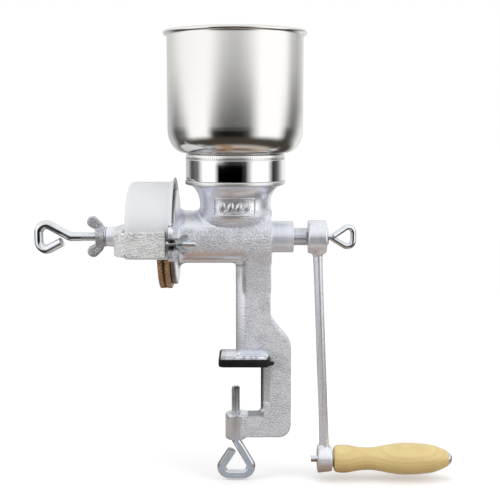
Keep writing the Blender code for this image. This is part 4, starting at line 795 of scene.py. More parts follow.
def lowest(first: np.ndarray, second: np.ndarray, blend: object = 0.0) -> np.ndarray:
    """Return the smaller of two fields, with a fillet of the blend's size between them."""
    if np.isscalar(blend) and blend <= 0.0:
        return np.minimum(first, second)
    meet = np.clip(blend - np.abs(first - second), 0.0, None) / blend
    return np.minimum(first, second) - meet * meet * blend * 0.25


def highest(first: np.ndarray, second: np.ndarray, blend: object = 0.0) -> np.ndarray:
    """Return the larger of two fields, with a rounding of the blend's size between them."""
    return -lowest(-first, -second, blend)


class CastField:
    """A casting as signed distances on a grid, where shapes flow into each other."""

    def __init__(self, low: Spot, high: Spot, pitch: float) -> None:
        """Lay out the grid.

        Args:
            low: its lowest corner.
            high: its highest corner.
            pitch: the distance between its points.
        """
        self.pitch = pitch
        self.low = np.array(low)
        counts = np.ceil((np.array(high) - self.low) / pitch).astype(int) + 1
        self.axes = [self.low[axis] + pitch * np.arange(counts[axis]) for axis in range(3)]
        self.values = np.full(counts, 1000.0, dtype=np.float32)

    def add(self, shape: np.ndarray, blend: object = 0.0) -> None:
        """Add a shape, with a fillet where it meets the rest."""
        self.values = lowest(self.values, shape, blend).astype(np.float32)

    def cut(self, shape: np.ndarray, blend: object = 0.0) -> None:
        """Cut a shape away, with a rounding along the cut."""
        self.values = highest(self.values, -shape, blend).astype(np.float32)

    def keep(self, shape: np.ndarray, blend: object = 0.0) -> None:
        """Keep only what lies in the shape too."""
        self.values = highest(self.values, shape, blend).astype(np.float32)

    def turned(self, profile: Sequence[Flat], axis: Axis, centre: Flat = (0.0, 0.0)) -> np.ndarray:
        """Return a full turned shape.

        Args:
            profile: places along the axis with their radii, from end to end.
            axis: the axis it is turned about.
            centre: where the axis crosses the other two axes.

        Returns:
            Its distances.
        """
        first, second = [index for index in range(3) if index != axis.value]
        radius = np.hypot((self.axes[first] - centre[0])[:, None], (self.axes[second] - centre[1])[None, :])
        step = 0.3
        radii = np.arange(0.0, radius.max() + 3 * step, step)
        loop = list(profile) + [(along, -out) for along, out in reversed(profile)]
        table = outline_distance(self.axes[axis.value][:, None], radii[None, :], loop)
        base = np.floor(radius / step).astype(int)
        share = radius / step - base
        values = table[:, base] * (1.0 - share) + table[:, base + 1] * share
        return np.moveaxis(values, 0, axis.value)

    def plate(self, outline: Sequence[Flat], plane: Plane, middle: float, half: float,
              edge: object = 0.0) -> np.ndarray:
        """Return a plate of the outline.

        Args:
            outline: its points in the plane.
            plane: the plane they lie in.
            middle: the plate's place across the plane.
            half: half its thickness.
            edge: the rounding of its edges.

        Returns:
            Its distances.
        """
        first, second = [index for index in range(3) if index != plane.value]
        table = outline_distance(self.axes[first][:, None], self.axes[second][None, :], outline)
        thick = np.abs(self.axes[plane.value] - middle) - half
        shape = [1, 1, 1]
        shape[plane.value] = len(thick)
        return highest(np.expand_dims(table, plane.value), thick.reshape(shape), edge)

    def drill(self, start: float, end: float, radius: float, axis: Axis, blend: float,
              centre: Flat = (0.0, 0.0)) -> None:
        """Cut a round hole along the axis, with its edges rounded by the blend."""
        self.cut(self.turned([(start, 0.0), (start, radius), (end, radius), (end, 0.0)], axis, centre), blend)
    def beam(self, start: Spot, end: Spot, start_radius: float, end_radius: float) -> np.ndarray:
        """Return a round-ended beam whose radius changes evenly."""
        grid = np.meshgrid(*self.axes, indexing="ij", sparse=True)
        run = np.array(end) - np.array(start)
        share = sum((grid[index] - start[index]) * run[index] for index in range(3)) / float(run @ run)
        share = np.clip(share, 0.0, 1.0)
        squares = sum((grid[index] - start[index] - share * run[index]) ** 2 for index in range(3))
        return np.sqrt(squares) - (start_radius + (end_radius - start_radius) * share)

    def surface(self, name: str, finish: Material) -> Object:
        """Return the casting's skin as a mesh of even quads.

        Args:
            name: the object's name.
            finish: its material.

        Returns:
            The object.
        """
        inside = self.values < 0.0
        sizes = [count - 1 for count in inside.shape]
        filled = np.zeros(sizes, dtype=np.int8)
        for corner in np.ndindex(2, 2, 2):
            filled += inside[tuple(slice(start, start + size) for start, size in zip(corner, sizes))]
        active = (filled > 0) & (filled < 8)
        cells = np.argwhere(active)
        number = np.full(sizes, -1, dtype=np.int64)
        number[active] = np.arange(len(cells))
        total = np.zeros((len(cells), 3))
        hits = np.zeros(len(cells))
        for axis in range(3):
            step = np.eye(3, dtype=int)[axis]
            for pair in np.ndindex(2, 2):
                offset = np.insert(np.array(pair), axis, 0)
                near = self.values[tuple((cells + offset).T)]
                far = self.values[tuple((cells + offset + step).T)]
                crosses = (near < 0.0) != (far < 0.0)
                share = np.where(crosses, near / np.where(crosses, near - far, 1.0), 0.0)
                total += np.where(crosses[:, None], offset + share[:, None] * step, 0.0)
                hits += crosses
        spots = (cells + total / hits[:, None]) * self.pitch + self.low
        quads = [self._quads(inside, number, axis) for axis in range(3)]
        return mesh_piece(name, spots, np.concatenate(quads).tolist(), finish)

    @staticmethod
    def _quads(inside: np.ndarray, number: np.ndarray, axis: int) -> np.ndarray:
        """Return the quads round each grid edge along the axis that crosses the skin."""
        second, third = (axis + 1) % 3, (axis + 2) % 3
        near = np.moveaxis(inside, axis, 0)[:-1]
        far = np.moveaxis(inside, axis, 0)[1:]
        edges = np.argwhere(near != far)
        order = [axis] + [index for index in range(3) if index != axis]
        spots = np.zeros_like(edges)
        for column, index in enumerate(order):
            spots[:, index] = edges[:, column]
        b, c = np.eye(3, dtype=int)[second], np.eye(3, dtype=int)[third]
        ring = [number[tuple((spots - shift).T)] for shift in (0 * b, b, b + c, c)]
        outward = inside[tuple(spots.T)]
        loops = np.stack(ring, axis=1)
        return np.where(outward[:, None], loops, loops[:, ::-1])


# Repeats in Geometry Nodes


class RepeatTree:
    """Base of the Geometry Nodes trees: named inputs in, one realized mesh out."""

    name = "repeat"
    inputs: tuple[tuple[str, str], ...] = ()

    def __init__(self) -> None:
        """Build the tree."""
        self.tree = bpy.data.node_groups.new(self.name, "GeometryNodeTree")
        for way in ("OUTPUT", "INPUT"):
            self.tree.interface.new_socket(name="Geometry", in_out=way, socket_type="NodeSocketGeometry")
        self.sockets = {}
        for label, kind in (*self.inputs, ("Finish", "Material")):
            kind = f"NodeSocket{kind}"
            socket = self.tree.interface.new_socket(name=label, in_out="INPUT", socket_type=kind)
            self.sockets[label] = socket.identifier
        self.wiring = Wiring(self.tree)
        self.source = self.wiring.add("NodeGroupInput").outputs
        realized = self.chain("GeometryNodeRealizeInstances", Geometry=self.geometry())
        dressed = self.chain("GeometryNodeSetMaterial", Geometry=realized, Material=self.source["Finish"])
        self.wiring.fill(self.wiring.add("NodeGroupOutput"), Geometry=dressed)

    def chain(self, kind: str, **values: object) -> NodeSocket:
        """Add a node, feed its inputs and return its first output."""
        return self.wiring.fill(self.wiring.add(kind), **values).outputs[0]

    def geometry(self) -> NodeSocket:
        """Return the socket of the repeated geometry."""
        return self.source["Geometry"]

    def run(self, piece: Object, finish: Material, **values: object) -> Object:
        """Run the tree on a piece.

        Args:
            piece: the object whose mesh goes in.
            finish: the material of the result.
            values: the tree's inputs, with spaces written as underscores.

        Returns:
            A plain mesh object.
        """
        modifier = piece.modifiers.new(self.name, "NODES")
        modifier.node_group = self.tree
        for name, value in values.items():
            modifier[self.sockets[name.replace("_", " ")]] = value
        modifier[self.sockets["Finish"]] = finish
        return settle(piece, finish)


class RingOfCopies(RepeatTree):
    """Turns copies of the input mesh about an axis, an even step apart."""

    name = "ring of copies"
    inputs = (("Count", "Int"), ("Step", "Float"), ("Axis", "Vector"), ("Centre", "Vector"))

    def geometry(self) -> NodeSocket:
        """Return instances of the input, one for each point of a line without length."""
        line = self.chain("GeometryNodeMeshLine", Count=self.source["Count"], Offset=CENTRE)
        copies = self.chain("GeometryNodeInstanceOnPoints", Points=line, Instance=self.source["Geometry"])
        turn = self.wiring.times(self.chain("GeometryNodeInputIndex"), self.source["Step"])
        angles = self.wiring.add("ShaderNodeVectorMath", operation="SCALE")
        self.wiring.feed(angles.inputs[0], self.source["Axis"])
        self.wiring.fill(angles, Scale=turn)
        return self.chain("GeometryNodeRotateInstances", Instances=copies, Rotation=angles.outputs["Vector"],
                          Pivot_Point=self.source["Centre"], Local_Space=False)

    def round(self, piece: Object, finish: Material, count: int, axis: Spot,
              centre: Spot) -> Object:
        """Return copies of the piece all round the axis, which passes the centre in metres."""
        return self.run(piece, finish, Count=count, Step=2 * math.pi / count, Axis=axis, Centre=centre)


class HelixRidge(RepeatTree):
    """Carries a ridge up a helix about Z, then turns it and puts it in place."""

    name = "helix ridge"
    inputs = (("Radius", "Float"), ("Length", "Float"), ("Turns", "Float"), ("Foot width", "Float"),
              ("Crest width", "Float"), ("Ridge height", "Float"), ("Points per turn", "Int"),
              ("Turn", "Vector"), ("Place", "Vector"))

    def geometry(self) -> NodeSocket:
        """Return the ridge."""
        source = self.source
        spiral = self.chain("GeometryNodeCurveSpiral", Resolution=source["Points per turn"],
                            Rotations=source["Turns"], Start_Radius=source["Radius"],
                            End_Radius=source["Radius"], Height=source["Length"])
        upright = self.wiring.fill(self.wiring.add("GeometryNodeSetCurveNormal", mode="Z_UP"), Curve=spiral)
        section = self.wiring.add("GeometryNodeCurvePrimitiveQuadrilateral", mode="TRAPEZOID")
        self.wiring.fill(section, Bottom_Width=source["Foot width"], Top_Width=source["Crest width"],
                         Height=source["Ridge height"], Offset=0.0)
        leaned = self.chain("GeometryNodeTransform", Geometry=section.outputs["Curve"],
                            Rotation=(0.0, 0.0, math.pi / 2))
        swept = self.chain("GeometryNodeCurveToMesh", Curve=upright.outputs["Curve"], Profile_Curve=leaned,
                           Fill_Caps=True)
        return self.chain("GeometryNodeTransform", Geometry=swept, Rotation=source["Turn"],
                          Translation=source["Place"])


@dataclass
class Workshop:
    """What every sub-assembly shares: the finishes, the repeat trees and the sizes of threads."""

    finishes: Finishes
    ring: RingOfCopies
    helix: HelixRidge
    depth_share: float = 0.55
    foot_share: float = 0.66
    crest_share: float = 0.14
    points_per_turn: int = 20
    rod: float = 4.8
    root_depth: float = 0.68
    rod_pitch: float = 1.5
    chamfer: float = 0.8
    run_out: float = 1.4

    def thread(self, name: str, radius: float, pitch: float, start: Spot, length: float, along: Axis,
               finish: Material) -> Object:
        """Return the ridge of a screw thread.

        Args:
            name: the object's name.
            radius: the radius of its crests.
            pitch: the distance from crest to crest.
            start: where the thread starts on the axis.
            length: how far it runs towards the positive end of the axis.
            along: the screw's axis.
            finish: its material.

        Returns:
            The object.
        """
        turn = (0.0, math.pi / 2, 0.0) if along is Axis.X else CENTRE
        height = self.depth_share * pitch
        blank = placed(name, bpy.data.meshes.new(name))
        return self.helix.run(
            blank, finish, Radius=(radius - height / 2) * MM, Length=length * MM, Turns=length / pitch,
            Foot_width=pitch * self.foot_share * MM, Crest_width=pitch * self.crest_share * MM,
            Ridge_height=height * MM, Points_per_turn=self.points_per_turn, Turn=turn,
            Place=tuple(float(part) for part in to_frame(np.array(start))),
        )

    def big_screw(self, name: str, eye: Sequence[Spot], bends: Sequence[float], ends: Flat, along: Axis,
                  crests: Material) -> list[Object]:
        """Return the parts of an M10 screw: the bent wire of its eye, its core and its thread.

        Args:
            name: start of the objects' names.
            eye: the corners of the bent wire.
            bends: the bend radius at each inner corner.
            ends: where the thread starts at the eye and where the screw's tip is.
            along: the screw's axis.
            crests: the material of the thread.

        Returns:
            The three objects.
        """
        end, tip = ends
        core, chamfered = self.rod - self.root_depth, tip - self.chamfer
        rod = wire(f"{name}_wire", bent_route(eye, bends), self.rod, self.finishes.zinc, sides=8)
        profile = [(end, 0.0), (end, core), (chamfered, core), (tip, core - self.chamfer), (tip, 0.0)]
        # the core takes the near-black root finish: painted shade in the thread's valleys
        shank = lathe(f"{name}_shank", profile, along, self.finishes.root, 48)
        start = [0.0, 0.0, 0.0]
        start[along.value] = end
        length = tip - end - self.run_out
        thread = self.thread(f"{name}_thread", self.rod, self.rod_pitch, tuple(start), length, along, crests)
        return [rod, shank, thread]


# Sub-assemblies


@dataclass
class MillCasting:
    """The grey casting: barrel, flange, ears, neck, boss, column and clamp."""

    flange_left: float = -64.9
    flange_radius: float = 49.0
    barrel_radius: float = 27.2
    barrel_end: float = 36.6
    boss_radius: float = 16.3
    boss_end: float = 60.0
    neck_radius: float = 36.7
    neck_top: float = 58.6
    neck_wall: float = 4.0
    flare_low: float = 34.0
    flare_height: float = 20.5
    outlet: float = 45.7
    neck_flange: float = 51.5
    spigot_radius: float = 49.7
    spigot_top: float = 76.0
    spine_inner: float = 26.4
    spine_outer: float = 58.2
    jaw_top: float = -188.5
    jaw_bottom: float = -213.2
    column_half: float = 10.0
    column_left: float = 0.2
    column_top: float = -12.0
    plate_level: float = -127.6
    ear_middle: float = -61.45
    ear_offset: float = 64.0
    screw_bore: float = 5.1
    bearing_bore: float = 9.4
    bevel_width: float = 10.4
    bevel_steep: float = 1.05
    bevel_ease: float = 0.5
    pitch: float = 1.22

    def neck_at(self, height: float) -> float:
        """Return the neck's outer radius at a height."""
        share = min(max((height - self.flare_low) / self.flare_height, 0.0), 1.0)
        widest = self.neck_flange - 0.8
        return widest - (widest - self.neck_radius) * math.sqrt(1.0 - share * share)

    def _flare(self, steps: int = 14) -> list[Flat]:
        """Return heights up the neck's flare, as shares of it, with the neck's radius at each."""
        shares = [step / steps for step in range(steps + 1)]
        return [(share, self.neck_at(self.flare_low + self.flare_height * share)) for share in shares]

    def _core(self) -> list[Flat]:
        """Return the profile of barrel, flange and boss."""
        left, radius = self.flange_left, self.flange_radius
        fillet = arc((left + 14.7, self.barrel_radius + 9.0), (9.0, 9.0), 180, 270)
        return [
            (left, 0.0), (left, radius - 0.8), (left + 0.8, radius), (left + 4.9, radius),
            (left + 5.7, radius - 0.8),
            *fillet, (self.barrel_end - 1.0, self.barrel_radius), (self.barrel_end, self.barrel_radius - 1.0),
            (self.barrel_end, self.boss_radius), (self.boss_end - 0.8, self.boss_radius),
            (self.boss_end, self.boss_radius - 0.8), (self.boss_end, 0.0),
        ]

    def _neck(self) -> list[Flat]:
        """Return the profile of the neck, from its foot to the spigot."""
        foot = swapped(arc((20.0, 24.0), (self.neck_radius - 20.0, 10.3), -90, 0))
        flange, spigot, end = self.neck_flange, self.spigot_radius, self.spigot_top
        flare = [(self.flare_low + self.flare_height * share, out) for share, out in self._flare()]
        top = self.neck_top
        return [
            (13.7, 0.0), *foot, *flare, (top - 3.3, flange), (top - 0.8, flange), (top, flange - 0.8),
            (top, spigot), (end - 0.8, spigot), (end, spigot - 0.8), (end, 0.0),
        ]

    def _throat(self) -> list[Flat]:
        """Return the profile of the hollow from the spigot to the worm."""
        narrow, wide, outlet, above = 16.5, self.neck_radius - self.neck_wall, self.outlet, 80.0
        flare = [(self.flare_low + 23.0 * share, max(out - self.neck_wall, wide))
                 for share, out in self._flare()]
        return [(0.0, 0.0), (0.0, narrow), (13.0, narrow), (26.0, wide), *flare, (self.neck_top, outlet),
                (above, outlet), (above, 0.0)]

    def _column(self) -> list[Flat]:
        """Return the outline of the column and the C of the clamp."""
        inner = arc((self.spine_inner - 4.5, self.jaw_top + 4.5), (4.5, 4.5), 0, -90)
        heel = arc((self.spine_outer - 13.0, self.jaw_bottom + 13.0), (13.0, 13.0), -90, 0)
        shoulder = []
        for step in range(17):
            share = step / 16
            ease = share * share * (3 - 2 * share)
            out = self.barrel_end + (self.spine_outer - self.barrel_end) * ease
            shoulder.append((out, -80.0 - 36.0 * share))
        return [
            (self.column_left, self.column_top), (self.column_left, self.plate_level),
            (self.spine_inner, self.plate_level), *inner, (0.0, self.jaw_top), (0.0, self.jaw_bottom), *heel,
            *reversed(shoulder), (self.barrel_end - 0.3, self.column_top),
        ]

    def _from_inner_edge(self, across: np.ndarray, up: np.ndarray) -> np.ndarray:
        """Return each point's distance to the upright left edges of column and spine."""
        left, inner, hair = self.column_left, self.spine_inner, 0.1
        top, plate, low = self.column_top, self.plate_level, self.jaw_top + 8.0
        line = [(left, top), (left, plate), (inner, plate), (inner, low), (inner - hair, low),
                (inner - hair, plate + hair), (left - hair, plate + hair), (left - hair, top)]
        return np.abs(outline_distance(across, up, line))

    def _column_shape(self, field: CastField) -> np.ndarray:
        """Return the column, with the broad bevel of its left edge and of the inside of the C."""
        plate = field.plate(self._column(), Plane.XZ, 0.0, self.column_half, 2.5)
        edge = self._from_inner_edge(field.axes[0][:, None], field.axes[2][None, :])[:, None, :]
        edge = np.minimum(edge, self.bevel_width * 1.4)
        deep = np.abs(field.axes[1])[None, :, None] - self.column_half
        away = self.bevel_width - edge
        drop = away * (self.bevel_steep - 0.5 * self.bevel_ease * (1.0 + edge / self.bevel_width))
        return highest(plate, (deep + drop) / 1.4, 0.8)

    def _mark_smooth_zones(self, piece: Object) -> None:
        """Store how smooth the casting is at each point, and where painted shade darkens it: inside the C,
        along the lower jaw's shelf, in the seam behind the flange, in the ears' slots, on the jaw plate's top
        and on the left of the screw boss.
        """
        spots = np.empty(len(piece.data.vertices) * 3)
        piece.data.vertices.foreach_get("co", spots)
        x, y, z = (spots.reshape(-1, 3) / MM - np.array((0.0, 0.0, SHAFT_HEIGHT))).T
        gap = self._from_inner_edge(x, z)
        edge = np.clip(self.bevel_width + 0.6 - gap, 0.0, 1.0) * (z < -28.0) * 0.95
        edge *= np.clip((z - self.jaw_top - 8.0) / 6.0, 0.0, 1.0)
        boss = np.clip(13.0 - np.hypot(x, y), 0.0, 1.0) * (z < self.jaw_top + 4.0) * 0.85
        neck = np.clip((z - 22.0) / 10.0, 0.0, 1.0) * 0.9
        barrel = np.clip(np.abs(z + 1.0) / 5.0 - 1.8, 0.0, 1.0) * np.clip((z + 44.0) / 16.0, 0.0, 1.0)
        barrel *= (1.0 - np.clip((x - 5.0) / 6.0, 0.0, 1.0) * 0.6) * np.where(z > 0.0, 0.8, 1.0)
        flange = np.clip((-54.0 - x) / 3.0, 0.0, 1.0) * 0.85
        # Painted shade laid into the colour: inside the C, along the lower jaw's shelf, in the seam behind
        # the flange, in the ears' slots, on the jaw plate's top and on the left of the screw boss.
        inner_c_shade = np.clip((3.6 - gap) / 1.4, 0.0, 1.0) * (x > 20.0) * (z < -131.0) * (z > self.jaw_top)
        shelf = np.clip((z - self.jaw_top + 2.4) / 1.6, 0.0, 1.0)
        shelf *= (x > 12.5) * (x < 30.0) * (z < self.jaw_top + 3.0)
        away = np.hypot(y, z)
        seam = np.maximum((x < -60.1) * (away > 44.0) * (np.abs(z) > 18.0), x < -64.0)
        table = (z > -125.7) * (z < -123.8) * (x < 36.0) * (np.abs(y) > 10.8)
        boss_left_shade = boss * (x < 4.0) * 0.22
        slot = (np.abs(y) > 58.0) * (np.abs(z) < 5.6) * (x < -58.6)
        painted_shade = np.max([inner_c_shade * 0.85, shelf * 0.6, seam * 0.8, slot * 0.9, table * 0.35, boss_left_shade], axis=0)
        smooth = np.max([edge, neck, barrel, flange, boss], axis=0)
        for name, values in (("smooth_zone", smooth), ("painted_shade", painted_shade)):
            attribute = piece.data.attributes.new(name, "FLOAT", "POINT")
            attribute.data.foreach_set("value", values.astype(np.float32))

    def casting(self, finish: Material) -> Object:
        """Return the whole casting as one skin."""
        field = CastField((-67.5, -77.0, -219.5), (62.5, 77.0, 78.5), self.pitch)
        field.add(field.turned(self._core(), Axis.X))
        field.add(field.turned(self._neck(), Axis.Z), 5.0)
        field.add(self._column_shape(field), 4.0)
        web = ((-24.0, -6.0, 0.0), (24.0, -6.0, 0.0), (9.8, -58.0, 14.0), (-9.8, -58.0, 14.0))
        field.add(field.plate(softened(web, closed=True), Plane.YZ, 22.9, 12.9, 4.0), 4.0)
        field.add(field.plate(pane(-15.8, -22.6, 33.5, 22.6, 4.0), Plane.XY, self.plate_level, 2.9, 2.0), 2.5)
        for across, radius in ((1.5, 1.9), (6.0, 1.4), (12.5, 1.8), (18.5, 1.4), (25.0, 2.1), (28.0, 2.3)):
            start, end = (across - 1.2, -19.2, -124.4), (across + 1.2, -18.9, -124.3)
            field.add(field.beam(start, end, radius, radius), 1.2)
        boss = [(-216.0, 0.0), (-216.0, 10.2), (-215.0, 11.2), (-189.3, 11.2), (-188.3, 10.2), (-188.3, 0.0)]
        field.add(field.turned(boss, Axis.Z), 3.0)
        for side in (-1.0, 1.0):
            corners = ((40.0, -17.0, 0.0), (74.0, -17.0, 7.0), (74.0, 17.0, 7.0), (40.0, 17.0, 0.0))
            ear = softened([(side * across, up, radius) for across, up, radius in corners], closed=True)
            field.add(field.plate(ear, Plane.YZ, self.ear_middle, 3.15, 1.5), 2.5)
        self._hollow(field)
        piece = field.surface("mill_casting", finish)
        self._mark_smooth_zones(piece)
        return piece

    def _hollow(self, field: CastField) -> None:
        """Cut the bore, the throat, the ears' slots and the tapped hole."""
        wide, narrow = 20.5, self.bearing_bore
        bore = [(-70.0, 0.0), (-70.0, wide), (25.6, wide), (32.6, narrow), (64.0, narrow), (64.0, 0.0)]
        field.cut(field.turned(bore, Axis.X), 1.0)
        field.cut(field.turned(self._throat(), Axis.Z), 1.0)
        field.drill(-222.0, -186.0, self.screw_bore, Axis.Z, 0.8)
        half = 4.3
        for side in (-1.0, 1.0):
            slot = arc((side * self.ear_offset, 0.0), (-side * half, half), -90, 90)
            slot += [(side * 78.0, half), (side * 78.0, -half)]
            field.cut(field.plate(slot, Plane.YZ, self.ear_middle, 6.0), 1.0)

    def panel(self, shop: Workshop) -> Object:
        """Return the framed panel on the neck, with a row of plain cast grains in it."""
        finish = shop.finishes.rim
        corners = pane(-20.0, 24.9, 20.0, 41.9, 1.6)
        route = []
        for first, second in zip(corners, [*corners[1:], corners[0]]):
            steps = max(1, int(math.dist(first, second) / 1.5))
            for step in range(steps):
                across = first[0] + (second[0] - first[0]) * step / steps
                up = first[1] + (second[1] - first[1]) * step / steps
                radius = self.neck_at(up) + 0.05
                route.append(Vector((across, -math.sqrt(radius * radius - across * across), up)))
        ridge = wire("panel_ridge", route, 0.75, finish, closed=True, sides=3)
        step = math.radians(13.2)
        profile = [(-5.4, 0.0), (-4.9, 1.3), (-2.0, 3.2), (1.8, 3.0), (4.6, 1.3), (5.4, 0.0)]
        grain = lathe("grain", flowing(profile, 3), Axis.Z, finish, 20)
        crease = bar("crease", (-0.5, -4.0, -4.6), (0.5, -1.3, 4.4), finish)
        grain = cut_away(grain, [crease], finish)
        middle = shift_to(CENTRE)
        place = shift_to((0.0, 0.1 - self.neck_radius, 33.4))
        shape = Matrix.Rotation(0.3, 4, "Y") @ Matrix.Diagonal((1.0, 0.62, 1.0, 1.0))
        grain.data.transform(Matrix.Rotation(-1.5 * step, 4, "Z") @ place @ shape @ middle.inverted())
        grains = shop.ring.run(grain, finish, Count=4, Step=step, Axis=(0.0, 0.0, 1.0), Centre=CENTRE)
        return joined("neck_panel", [ridge, grains])

    def build(self, shop: Workshop) -> None:
        """Build the casting and its machined faces, and enter them."""
        enter(self.casting(shop.finishes.casting), Body.FRAME, Slot.TINNED_IRON, "mill_body")
        radius, end = self.boss_radius + 0.06, self.boss_end + 0.04
        boss = softened(((self.barrel_end + 0.25, radius + 1.3, 0.0), (self.barrel_end + 0.9, radius, 0.9),
                         (end, radius, 0.9), (end, 9.45, 0.4), (end - 6.0, 9.45, 0.0),
                         (self.barrel_end + 0.25, 12.0, 0.0)), closed=True)
        boss = lathe("bearing_boss", boss, Axis.X, shop.finishes.machined, closed=True)
        enter(boss, Body.FRAME, Slot.TINNED_IRON)
        top, out = self.neck_top + 0.04, self.neck_flange + 0.06
        spigot = self.spigot_radius
        rim = softened(((top - 4.4, out - 1.6, 0.0), (top - 3.6, out, 0.8), (top, out, 0.9),
                        (top, spigot + 0.1, 0.0), (top - 2.5, spigot - 1.0, 0.0)), closed=True)
        rim = lathe("neck_rim", rim, Axis.Z, shop.finishes.rim, closed=True)
        enter(rim, Body.FRAME, Slot.TINNED_IRON)
        enter(self.panel(shop), Body.FRAME, Slot.TINNED_IRON)


@dataclass
class TableClamp:
    """The rubber shoe of the upper jaw and the clamp screw."""

    pad_left: float = -17.7
    pad_right: float = 35.4
    pad_half: float = 24.5
    pad_bottom: float = -133.5
    pad_height: float = 8.5
    wall: float = 1.7
    floor: float = 2.7
    screw_tip: float = -159.0
    thread_end: float = -214.5
    eye_bottom: float = -256.2

    def pad(self, finish: Material) -> Object:
        """Return the rubber tray, open round the clamp's spine."""
        low, top = self.pad_bottom, self.pad_bottom + self.pad_height
        field = CastField((self.pad_left - 1.5, -self.pad_half - 1.5, low - 1.5),
                          (self.pad_right + 6.5, self.pad_half + 1.5, top + 1.5), 0.5)
        left, right, half, wall = self.pad_left, self.pad_right, self.pad_half, self.wall
        outer = pane(left, -half, right, half, 6.5)
        field.add(field.plate(outer, Plane.XY, (low + top) / 2, self.pad_height / 2, 1.6))
        inner = pane(left + wall, wall - half, right - wall, half - wall, 4.5)
        field.cut(field.plate(inner, Plane.XY, low + self.floor + 6.0, 6.0), 0.6)
        start, end = (right - 1.0, 4.0 - half, low + 3.4), (right + 3.0, 5.0 - half, low + 3.6)
        field.add(field.beam(start, end, 2.4, 2.0), 1.0)
        notch = [(26.1, -10.3), (40.0, -10.3), (40.0, 10.3), (26.1, 10.3)]
        field.cut(field.plate(notch, Plane.XY, low + 5.0, 12.0), 0.8)
        return field.surface("clamp_shoe", finish)

    def screw(self, shop: Workshop) -> Object:
        """Return the clamp screw with its thread and its bent eye."""
        end, low = self.thread_end, self.eye_bottom
        eye = ((0.0, 0.0, end + 0.5), (0.0, 0.0, -217.6), (22.2, 0.0, low), (-21.5, 0.0, low),
               (-4.2, -6.2, -227.4))
        parts = shop.big_screw("clamp", eye, (10.0, 8.5, 8.5), (end, self.screw_tip), Axis.Z,
                               shop.finishes.thread)
        return joined("clamp_screw_wire", parts)

    def build(self, shop: Workshop) -> None:
        """Build shoe and screw, and enter them."""
        enter(self.pad(shop.finishes.rubber), Body.FRAME, Slot.RUBBER, "clamp_pad")
        enter(self.screw(shop), Body.CLAMP_SCREW, Slot.ZINC_STEEL, "clamp_screw")


@dataclass
class Hopper:
    """The spun bowl and its mirror collar."""

    radius: float = 69.2
    wall: float = 0.9
    rim_top: float = 208.7
    bead: float = 2.25
    floor: float = 86.2
    curve_top: float = 110.5
    floor_radius: float = 50.8
    outlet: float = 44.0
    collar_radius: float = 51.0
    collar_bottom: float = 58.9
    collar_top: float = 85.9
    pleats: int = 140

    def bowl(self, finish: Material) -> Object:
        """Return the bowl: floor ring, round lower wall, crease, straight wall and rolled rim."""
        width, height, wall = self.radius - self.floor_radius, self.curve_top - self.floor, self.wall
        turn = (self.floor_radius, self.curve_top)
        outer = swapped(arc(turn, (width - 0.03, height), -90, 0, 24))
        inner = swapped(arc(turn, (width - wall - 0.15, height - wall), 0, -90, 20))
        crease = [(self.curve_top + 0.8, self.radius - 0.03), (self.curve_top + 1.6, self.radius),
                  (self.curve_top + 2.6, self.radius)]
        centre = (self.rim_top - self.bead, self.radius - self.wall + self.bead)
        bead = swapped(arc((centre[1], centre[0]), (self.bead, self.bead), -125, 180, 22))
        neck = softened(((self.rim_top - 9.0, self.radius, 0.0), (centre[0] - 3.4, self.radius, 1.5),
                         (centre[0] - 1.9, self.radius + 0.12, 0.0)))
        profile = [(self.floor, self.outlet), *outer, *crease, *neck, *bead,
                   (self.rim_top - 12.0, self.radius - wall), *inner, (self.floor + wall, self.outlet)]
        return lathe("bowl_shell", profile, Axis.Z, finish, 192, closed=True)

    def collar(self, shop: Workshop) -> Object:
        """Return the collar with the small pleats under its top edge."""
        radius, wall, bottom, top = self.collar_radius, self.wall, self.collar_bottom, self.collar_top
        profile = softened((
            (bottom, radius - wall, 0.2), (bottom, radius, 0.2), (bottom + 1.2, radius, 0.3),
            (top - 6.0, radius, 0.2), (top - 5.7, radius - 0.3, 0.2), (top, radius - 0.25, 2.0),
            (top, self.outlet, 0.2), (top - wall, self.outlet, 0.2), (top - wall, radius - wall, 1.4)),
            closed=True)
        shell = lathe("collar_shell", profile, Axis.Z, shop.finishes.collar, 192, closed=True)
        low, high, half = (radius - 1.0, top - 5.5), (radius + 0.05, top - 2.0), 0.55
        pleat = bar("pleat", (low[0], -half, low[1]), (high[0], half, high[1]), shop.finishes.collar, 0.25)
        pleats = shop.ring.round(pleat, shop.finishes.collar, self.pleats, (0.0, 0.0, 1.0), CENTRE)
        return joined("collar_mirror", [shell, pleats])

    def build(self, shop: Workshop) -> None:
        """Build bowl and collar, and enter them."""
        enter(self.bowl(shop.finishes.bowl), Body.HOPPER, Slot.SATIN_STEEL, "hopper_bowl")
        enter(self.collar(shop), Body.HOPPER, Slot.BRIGHT_STEEL, "hopper_collar")


